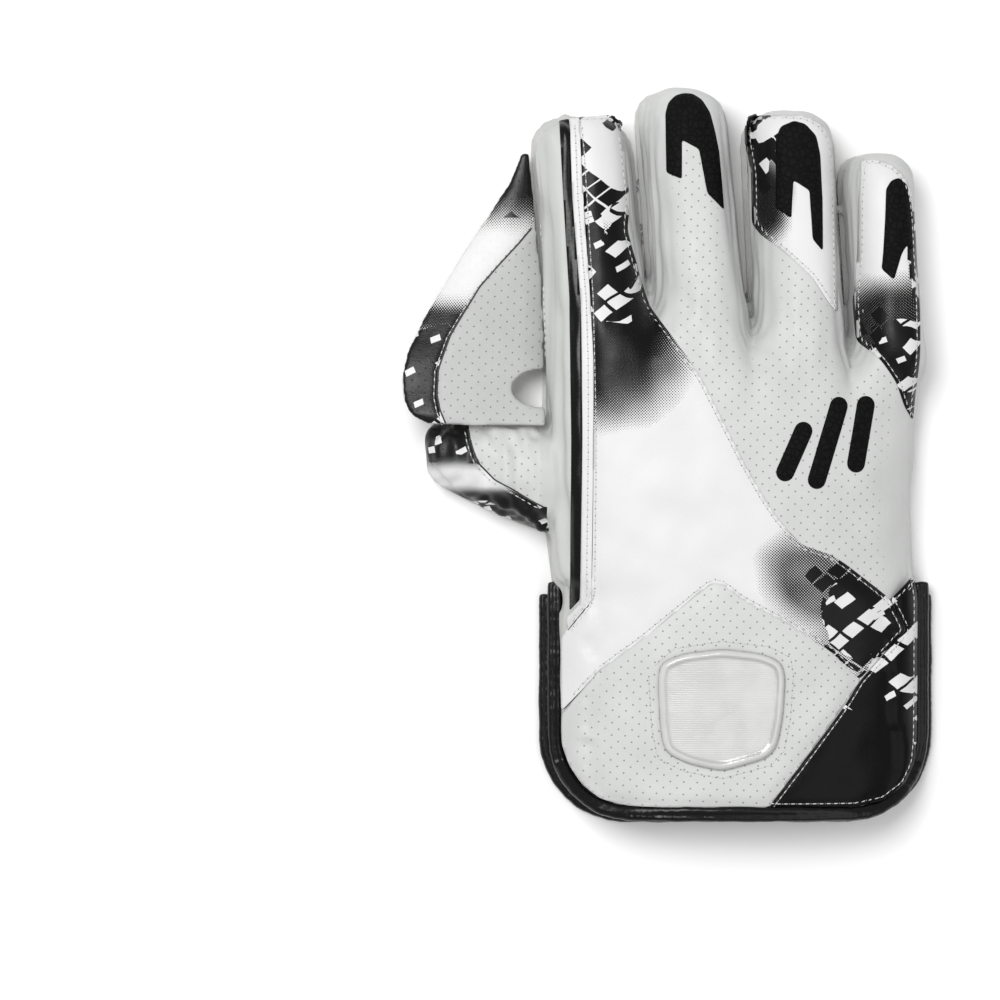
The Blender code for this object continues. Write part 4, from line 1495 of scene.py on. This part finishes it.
@dataclass
class Badge:
    """The clear moulded shield on the cuff, left bare: a bevelled rim round a sunk, lined face."""

    height: float = 3.4
    rim: float = 2.9
    slope: float = 1.5
    step: float = 0.9
    sink: float = 0.9
    crown: float = 0.55
    wall: float = 1.4

    def build(self, surface: Surface, plastic: bpy.types.Material) -> bpy.types.Object:
        """Builds and dresses the badge.

        Args:
            surface: what it is laid on.
            plastic: its finish.

        Returns:
            The piece's object.
        """
        panel = Panel("badge", Slot.BADGE, BADGE_OUTLINE, corner=5.0, edge=0.35, step=self.step)
        bm = panel.flat_shape()
        flat = np.array([(v.co.x / MM, v.co.y / MM) for v in bm.verts])
        gap = line_distance(flat, panel.rim, closed=True)
        rise = self.height * np.sqrt(ramp(gap, -0.6, self.slope + 0.6))
        rise -= self.sink * ramp(gap, self.rim, self.rim + 1.1)
        rise += self.crown * ramp(gap, self.rim + 2.0, self.rim + 16.0)
        for vert, up in zip(bm.verts, rise):
            spot, _ = surface.rest(vert.co.x, vert.co.y)
            vert.co.z = spot.z + float(up) * MM
        obj = finished("clear_badge", bm)
        gap = line_distance(places_of(obj.data)[:, :2], panel.rim, closed=True)
        paint(obj.data, "face", ramp(gap, self.rim + 0.6, self.rim + 1.6))
        # Where the plastic's finish paints shade: the gutter round the sunk face and the badge's outer edge.
        gutter = bell(gap - self.rim - 0.6, 0.7) + bell(gap, 0.6)
        paint(obj.data, "gutter", np.clip(gutter, 0.0, 1.0) * 0.8)
        wall = obj.modifiers.new("Wall", "SOLIDIFY")
        wall.thickness = self.wall * MM
        wall.offset = -1.0
        return dress(obj, [plastic], ("badge",))


@dataclass
class Vent:
    """A round-ended slot of air mesh let into the back of the hand."""

    node: str
    turn: float
    width: float = 8.6

    def outline(self) -> Outline:
        """The slot's outline, fitted in its node's box.

        Returns:
            The outline.
        """
        low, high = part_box(self.node)
        middle = (low + high) / 2 / MM
        angle = math.radians(self.turn)
        length = ((high.y - low.y) / MM - self.width) / math.cos(angle) + self.width * 0.95
        ends = []
        for end in (1, -1):
            for degrees in range(0, 181, 20):
                a = math.radians(degrees if end > 0 else degrees + 180)
                u = self.width / 2 * math.cos(a)
                v = end * (length - self.width) / 2 + self.width / 2 * math.sin(a)
                ends.append((middle.x + u * math.cos(angle) + v * math.sin(angle),
                             middle.y - u * math.sin(angle) + v * math.cos(angle)))
        return tuple(ends)


@dataclass
class Binding:
    """A folded strip of black leather round a cuff edge."""

    node: str
    voxel: float = 0.75 * MM
    rounds: int = 14
    swell: float = 0.30
    groove: float = 0.50
    lap: float = 0.0
    mouth_shift: float = 10.0

    def build(self, leather: bpy.types.Material) -> bpy.types.Object:
        """Builds and dresses the binding.

        Args:
            leather: its finish.

        Returns:
            The piece's object.
        """
        name = self.node.replace("_binding", "_edge_binding")
        obj = skin_over(name, node_copy(self.node), self.voxel, self.rounds)
        mesh = obj.data
        places, normals = places_of(mesh), normals_of(mesh)
        height = self.swell - self.groove * bell(normals[:, 2] - 1.0, 0.07)
        height = height + 0.05 * soft_waves(places, 4.0, 3) + 0.20 * soft_waves(places, 19.0, 4)
        middle = (places.min(axis=0) + places.max(axis=0))[:2] / 2 + np.array([0.0, self.mouth_shift])
        way = middle - places[:, :2]
        way /= np.hypot(way[:, 0], way[:, 1])[:, None]
        inward = way[:, 0] * normals[:, 0] + way[:, 1] * normals[:, 1]
        height += self.lap * ramp(inward, 0.15, 0.9) * ramp(normals[:, 2], -0.5, 0.1)
        places += normals * height[:, None]
        places[:, 2] = np.maximum(places[:, 2], 0.0)
        put_places(mesh, places)
        return dress(obj, [leather], (self.node,))


@dataclass
class Web:
    """The leather web between index finger and thumb, with its print band and its rubber face."""

    voxel: float = 1.0 * MM
    back_rounds: int = 6
    face_rounds: int = 3
    softness: float = 0.30
    seam_depth: float = 0.6
    seam_width: float = 1.6

    def build(self, leather: bpy.types.Material, rubber: bpy.types.Material) -> list[bpy.types.Object]:
        """Builds and dresses the web's back and face.

        Args:
            leather: the back's finish.
            rubber: the face's finish.

        Returns:
            The back and the face.
        """
        back = skin_over("web_leather", node_copy("web_back"), self.voxel, self.back_rounds)
        mesh = back.data
        places, normals = places_of(mesh), normals_of(mesh)
        flat = places[:, :2]
        relief = self.softness * soft_waves(places, 26.0, 2)
        sunk = bell(line_distance(flat, list(WEB_SEAM)), self.seam_width)
        relief -= self.seam_depth * sunk * ramp(normals[:, 2], 0.0, 0.5)
        put_places(mesh, places + normals * relief[:, None])
        seam = np.array(WEB_SEAM)[::-1]
        across = np.interp(flat[:, 1], seam[:, 1], seam[:, 0])
        outside = ramp(across - flat[:, 0], -1.0, 1.0)
        paint(mesh, "band", np.maximum(outside, ramp(flat[:, 1] - seam[-1, 1], -1.0, 1.0)))
        top, low = ramp(flat[:, 1], 112.0, 136.0), ramp(-flat[:, 1], -70.0, -56.0)
        paint(mesh, "ink", 0.97 * top + 0.80 * low)
        paint(mesh, "fade", 0.95 * ramp(flat[:, 1], 104.0, 132.0) + 0.8 * bell(flat[:, 1] - 66.0, 7.0))
        dress(back, [leather], ("web_back",))
        face = skin_over("web_rubber", node_copy("web_face"), self.voxel, self.face_rounds)
        dress(face, [rubber], ("web_face",))
        return [back, face]


@dataclass
class Palm:
    """The dimpled rubber palm and the padded palm side of the cuff.

    Below, deepest and cuff_voxel are in metres, and the other sizes are in millimetres.
    """

    pitch: float = 4.2
    ring: float = 1.35
    lip: float = 0.42
    height: float = 0.65
    foot: float = 2.6
    below: float = -0.05
    deepest: float = 0.004
    bevel: float = 0.4
    cuff_voxel: float = 1.8 * MM
    cuff_rounds: int = 4
    cuff_middle: float = -116.0

    def sheet(self, rubber: bpy.types.Material) -> bpy.types.Object:
        """Builds and dresses the rubber sheet.

        Args:
            rubber: its finish.

        Returns:
            The piece's object.
        """
        bm = node_copy("palm_face")
        rim = [edge for edge in bm.edges if len(edge.link_faces) == 2 and edge.calc_face_angle() > 1.0]
        bmesh.ops.bevel(
            bm, geom=rim, offset=self.bevel * MM, affect="EDGES", segments=2, profile=0.5, material=-1,
            clamp_overlap=True,
        )
        obj = finished("palm_rubber_sheet", bm)
        obj.data.shade_flat()
        places = places_of(obj.data)
        places[:, 2] = np.maximum(places[:, 2], self.height)
        put_places(obj.data, places)
        return dress(obj, [rubber], ("palm_face",))

    def dimple(self) -> bmesh.types.BMesh:
        """One raised ring of the rubber's pattern.

        Returns:
            The ring.
        """
        bm = bmesh.new()
        bmesh.ops.create_circle(bm, segments=8, radius=(self.ring + self.lip) * MM)
        edges = bm.edges[:]
        rows = ((0.3, -1.0), (-0.5, -1.0), (-1.0, -0.2))
        for radius, level in ((self.ring + self.lip * share, level) for share, level in rows):
            grown = bmesh.ops.extrude_edge_only(bm, edges=edges)["geom"]
            verts = [g for g in grown if isinstance(g, bmesh.types.BMVert)]
            edges = [g for g in grown if isinstance(g, bmesh.types.BMEdge)]
            for vert in verts:
                vert.co = vert.co.normalized() * radius * MM if vert.co.length else vert.co
                vert.co.z = level * self.height * MM
        bmesh.ops.recalc_face_normals(bm, faces=bm.faces)
        return bm

    def under(self, tree: BVHTree, x: float, y: float) -> Vector | None:
        """The lowest point of the sheet over a place in millimetres, if there is one."""
        return tree.ray_cast(Vector((x * MM, y * MM, self.below)), Vector((0, 0, 1)))[0]

    def dimples(self, sheet: bpy.types.Object, name: str, rubber: bpy.types.Material) -> bpy.types.Object:
        """Scatters the rings in even rows over the underside of a sheet.

        Args:
            sheet: the rubber sheet.
            name: the piece's name.
            rubber: its finish.

        Returns:
            The piece's object.
        """
        mesh = sheet.data
        tree = tree_of(mesh)
        low, high = places_of(mesh).min(axis=0), places_of(mesh).max(axis=0)
        found = []
        row = 0
        y = low[1]
        while y < high[1]:
            for x in np.arange(low[0] + (row % 2) * self.pitch / 2, high[0], self.pitch):
                angles = (0.5, 2.6, 4.7)
                ring = [(x + self.foot * math.cos(a), y + self.foot * math.sin(a)) for a in angles]
                hits = [self.under(tree, *place) for place in ring]
                spot = self.under(tree, x, y)
                if spot is None or None in hits or max(h.z for h in hits) - spot.z > self.deepest:
                    continue
                normal = (hits[1] - hits[0]).cross(hits[2] - hits[0]).normalized()
                normal = normal if normal.z > 0 else -normal
                turn = Vector((0, 0, 1)).rotation_difference(normal).to_matrix().to_4x4()
                found.append(Matrix.Translation(spot) @ turn)
            row += 1
            y += self.pitch * math.sqrt(0.75)
        return dress(scattered(name, self.dimple(), found), [rubber])

    def cuff(self, leather: bpy.types.Material) -> bpy.types.Object:
        """Builds and dresses the cuff's padded palm side.

        Args:
            leather: its finish.

        Returns:
            The piece's object.
        """
        obj = skin_over("cuff_palm_leather", node_copy("cuff_palm"), self.cuff_voxel, self.cuff_rounds)
        mesh = obj.data
        places, normals = places_of(mesh), normals_of(mesh)
        places += normals * (0.25 * soft_waves(places, 22.0, 9))[:, None]
        places[:, 2] = np.maximum(places[:, 2], 0.0)
        put_places(mesh, places)
        band = np.abs(places[:, 0] - 0.42 * (places[:, 1] + 118.0) - 22.0)
        paint(mesh, "band", ramp(46.0 - band, -1.8, 1.8) * ramp(-normals[:, 2], -0.3, 0.0))
        away = np.abs(places[:, 1] - self.cuff_middle)
        paint(mesh, "ink", 0.9 * ramp(away, 26.0, 46.0))
        paint(mesh, "fade", 0.9 * ramp(away, 18.0, 40.0))
        return dress(obj, [leather], ("cuff_palm",))


# ---- The glove ----

# The clouds of print: x, y, width, length, ink, fade and, where it isn't 0, turn in degrees.
BACK_INK = (
    InkSpot(-31.0, 140.0, 26.0, 46.0, 0.40, 0.0),
    InkSpot(-28.0, 90.0, 36.0, 50.0, 0.68, 0.0, 8.0),
    InkSpot(-34.0, 62.0, 48.0, 54.0, 0.0, 0.92, 32.0),
    InkSpot(68.0, -60.0, 32.0, 24.0, 0.0, 0.50, -42.0),
    InkSpot(92.0, -80.0, 44.0, 30.0, 0.70, 0.35, -45.0),
)
RING_INK = (
    InkSpot(42.0, 148.0, 15.0, 34.0, 0.68, 0.0),
    InkSpot(44.0, 122.0, 16.0, 26.0, 0.0, 0.80),
)
LITTLE_INK = (
    InkSpot(112.0, 36.0, 30.0, 48.0, 0.74, 0.0),
    InkSpot(108.0, 62.0, 40.0, 26.0, 0.0, 0.72),
    InkSpot(119.0, 92.0, 6.0, 40.0, 0.80, 0.2),
)
CORNER_INK = (
    InkSpot(66.0, -160.0, 96.0, 84.0, 1.0, 0.0),
    InkSpot(112.0, -100.0, 90.0, 120.0, 0.72, 0.0),
)


@dataclass
class Studio:
    """Pale floor, soft light from the upper left and the overhead camera.

    Centre and width are in millimetres, and the other sizes are in metres. Each lamp has its name,
    place, side and power.
    """

    centre: Point = (-79.8, -20.7)
    width: float = 475.0
    distance: float = 1.9
    level: float = 0.03
    sensor: float = 36.0
    daylight: float = 0.465
    floor_size: float = 6.0
    aim: tuple[float, float, float] = (0.02, 0.0, 0.02)
    lamps: tuple[tuple[str, tuple[float, float, float], float, float], ...] = (
        ("key", (-0.55, 0.52, 1.7), 0.9, 25.0),
        ("fill", (0.9, -0.5, 1.7), 1.6, 9.0),
    )

    def build(self) -> None:
        """Adds the floor, the lights and the camera."""
        scene = bpy.context.scene
        bm = bmesh.new()
        bmesh.ops.create_grid(bm, x_segments=1, y_segments=1, size=self.floor_size)
        floor = finished("floor", bm)
        painter = Painter("floor_paper")
        tone = painter.rise(painter.noise(300.0, 1.0), 0.3, 0.7, (0.93, 0.95))
        colour = painter.node("CombineColor", {0: tone, 1: tone, 2: tone}).outputs[0]
        floor.data.materials.append(painter.finish(colour, tone, tone, 0.0))
        world = bpy.data.worlds.new("studio")
        world.use_nodes = True
        background = world.node_tree.nodes["Background"]
        background.inputs["Color"].default_value = grey(1.0)
        background.inputs["Strength"].default_value = self.daylight
        scene.world = world
        for lamp in self.lamps:
            self.lamp(*lamp)
        scene.view_settings.view_transform = "Standard"
        lens = bpy.data.cameras.new("camera")
        lens.sensor_width = self.sensor
        lens.lens = self.sensor * self.distance / (self.width * MM)
        lens.clip_end = 20.0
        camera = bpy.data.objects.new("camera", lens)
        camera.location = (self.centre[0] * MM, self.centre[1] * MM, self.distance + self.level)
        scene.collection.objects.link(camera)
        scene.camera = camera

    def lamp(self, name: str, place: tuple[float, float, float], size: float, power: float) -> None:
        """Adds a square lamp that faces the glove.

        Args:
            name: the lamp's name.
            place: where it hangs, in metres.
            size: its side in metres.
            power: its power in watts.
        """
        light = bpy.data.lights.new(name, "AREA")
        light.size = size
        light.energy = power
        lamp = bpy.data.objects.new(name, light)
        lamp.location = place
        aim = Vector(self.aim) - Vector(place)
        lamp.rotation_euler = aim.to_track_quat("-Z", "Y").to_euler()
        bpy.context.scene.collection.objects.link(lamp)


def back_panels() -> list[Panel]:
    """The cut panels that are sewn over the leather back, from the lowest up."""
    return [
        Panel("shield_leather", Slot.BACK, SHIELD_OUTLINE, ("shield_panel",), puff=1.5, lift=0.1, sewn=None),
        Panel("print_panel", Slot.WHITE, PRINT_OUTLINE, ink=BACK_INK),
        Panel("corner_leather", Slot.BLACK, CORNER_OUTLINE, ("corner_panel",), ink=CORNER_INK, lift=0.35),
        Panel("ring_panel", Slot.WHITE, RING_OUTLINE, ink=RING_INK, puff=0.7),
        Panel("little_panel", Slot.WHITE, LITTLE_OUTLINE, ink=LITTLE_INK, puff=0.7),
    ]


def small_trims() -> list[Panel]:
    """The strip, the piping, the fingertips' mesh insets and the vents."""
    trims: list[Panel] = [
        Trim("black_strip", Slot.BLACK, STRIP_OUTLINE, ("side_strip",)),
        Trim(
            "white_piping", Slot.WHITE, PIPING_OUTLINE, ("side_piping",),
            lift=0.45, puff=0.5, pinch=1.2, thickness=0.9,
        ),
        MeshInset("middle_mesh", Slot.MESH, MIDDLE_PAD_OUTLINE, ("middle_pad",)),
        MeshInset("ring_mesh", Slot.MESH, RING_PAD_OUTLINE, ("ring_pad",)),
        MeshInset("little_mesh", Slot.MESH, LITTLE_PAD_OUTLINE, ("little_pad",)),
    ]
    for vent in (Vent("vent_inner", 24.0), Vent("vent_middle", 17.0), Vent("vent_outer", 10.0)):
        sizes = {"corner": 0.5, "lift": 0.2, "puff": 0.4, "step": 1.2}
        trims.append(MeshInset(vent.node + "_mesh", Slot.MESH, vent.outline(), (vent.node,), **sizes))
    return trims


def sew(panels: list[Panel], top: Surface, edge: bpy.types.Material) -> None:
    """Adds the dark seam cords (the leather's edge, with painted shade), the rows of stitches and their
    needle holes.

    Args:
        panels: the panels whose edges are stitched.
        top: what the stitches are sewn into.
        edge: the finish of cut leather, also the seam cords' painted shade.
    """
    thread = ThreadFinish("white_thread").material()
    dent = ThreadFinish("needle_dent", lightness=0.22).material()
    # Dark cords along the web's and the thumb's seams: the leather's edge, with painted shade in the seam.
    SeamCord(WEB_SEAM[1:]).build("web_seam_edge", top, edge)
    SeamCord(THUMB_SEAM).build("thumb_seam_edge", top, edge)
    stitching = Stitching()
    for panel in panels:
        if panel.sewn is not None:
            stitching.rows += panel.stitch_line()
    for line in (WEB_SEAM, THUMB_SEAM):
        beside = [(x - SEAM_STEP[0], y - SEAM_STEP[1]) for x, y in line]
        stitching.rows += spaced(beside, stitching.pitch)
    for line in (INDEX_WALL_SEAM, PIPING_SEAM, BADGE_SEAM):
        stitching.rows += spaced(list(line), stitching.pitch)
    stitching.build("white_stitches", top, thread, Slot.WHITE)
    stitching.needle_holes("needle_holes", top, dent, Slot.WHITE)


def build_glove() -> None:
    """Builds every piece of the glove in order, from the skin out."""
    leather = LeatherFinish("back_leather", perforated=True, lined=True, printing=Printing.BAND).material()
    holed = LeatherFinish("shield_leather", perforated=True, lightness=0.58).material()
    printed = LeatherFinish("printed_leather", printing=Printing.ALL, gloss=0.16).material()
    banded = LeatherFinish(
        "banded_leather", perforated=True, lightness=0.47, printing=Printing.BAND
    ).material()
    corner = LeatherFinish("corner_leather", printing=Printing.ALL, roughness=0.40, gloss=0.10).material()
    glossy = BindingFinish("black_binding").material()
    # Dark cut leather for panel edges and for the seam cords, which also stand for painted shade in the
    # seams.
    cut_edge_and_seam_shade = BindingFinish("dark_edge", lightness=0.05, roughness=0.5).material()
    mesh = MeshFinish("air_mesh").material()
    rubber = RubberFinish("dimpled_rubber").material()
    back = LeatherBack().build(leather)
    skin = Surface(back)
    panels = back_panels()
    objects = []
    for panel in panels:
        face = {"shield_leather": holed, "corner_leather": corner}.get(panel.name, printed)
        objects.append(panel.build(skin, [face, cut_edge_and_seam_shade]))
    dressed = Surface(back, *objects)
    trims = small_trims()
    for trim in trims:
        face = {Slot.BLACK: glossy, Slot.WHITE: printed, Slot.MESH: mesh}[trim.slot]
        rim = cut_edge_and_seam_shade if trim.slot is Slot.WHITE else face
        objects.append(trim.build(dressed, [face, rim]))
    objects.append(Badge().build(dressed, PlasticFinish("clear_plastic").material()))
    web_back, web_face = Web().build(banded, rubber)
    Binding("cuff_back_binding", lap=1.7).build(glossy)
    Binding("cuff_palm_binding").build(glossy)
    palm = Palm()
    palm.dimples(palm.sheet(rubber), "palm_dimples", rubber)
    palm.dimples(web_face, "web_dimples", rubber)
    palm.cuff(banded)
    sew(panels + trims, Surface(back, *objects, web_back), cut_edge_and_seam_shade)


def main() -> None:
    """Builds the studio and the glove."""
    logging.basicConfig(level=logging.INFO, format="%(message)s")
    Studio().build()
    build_glove()


if __name__ == "__main__":
    main()
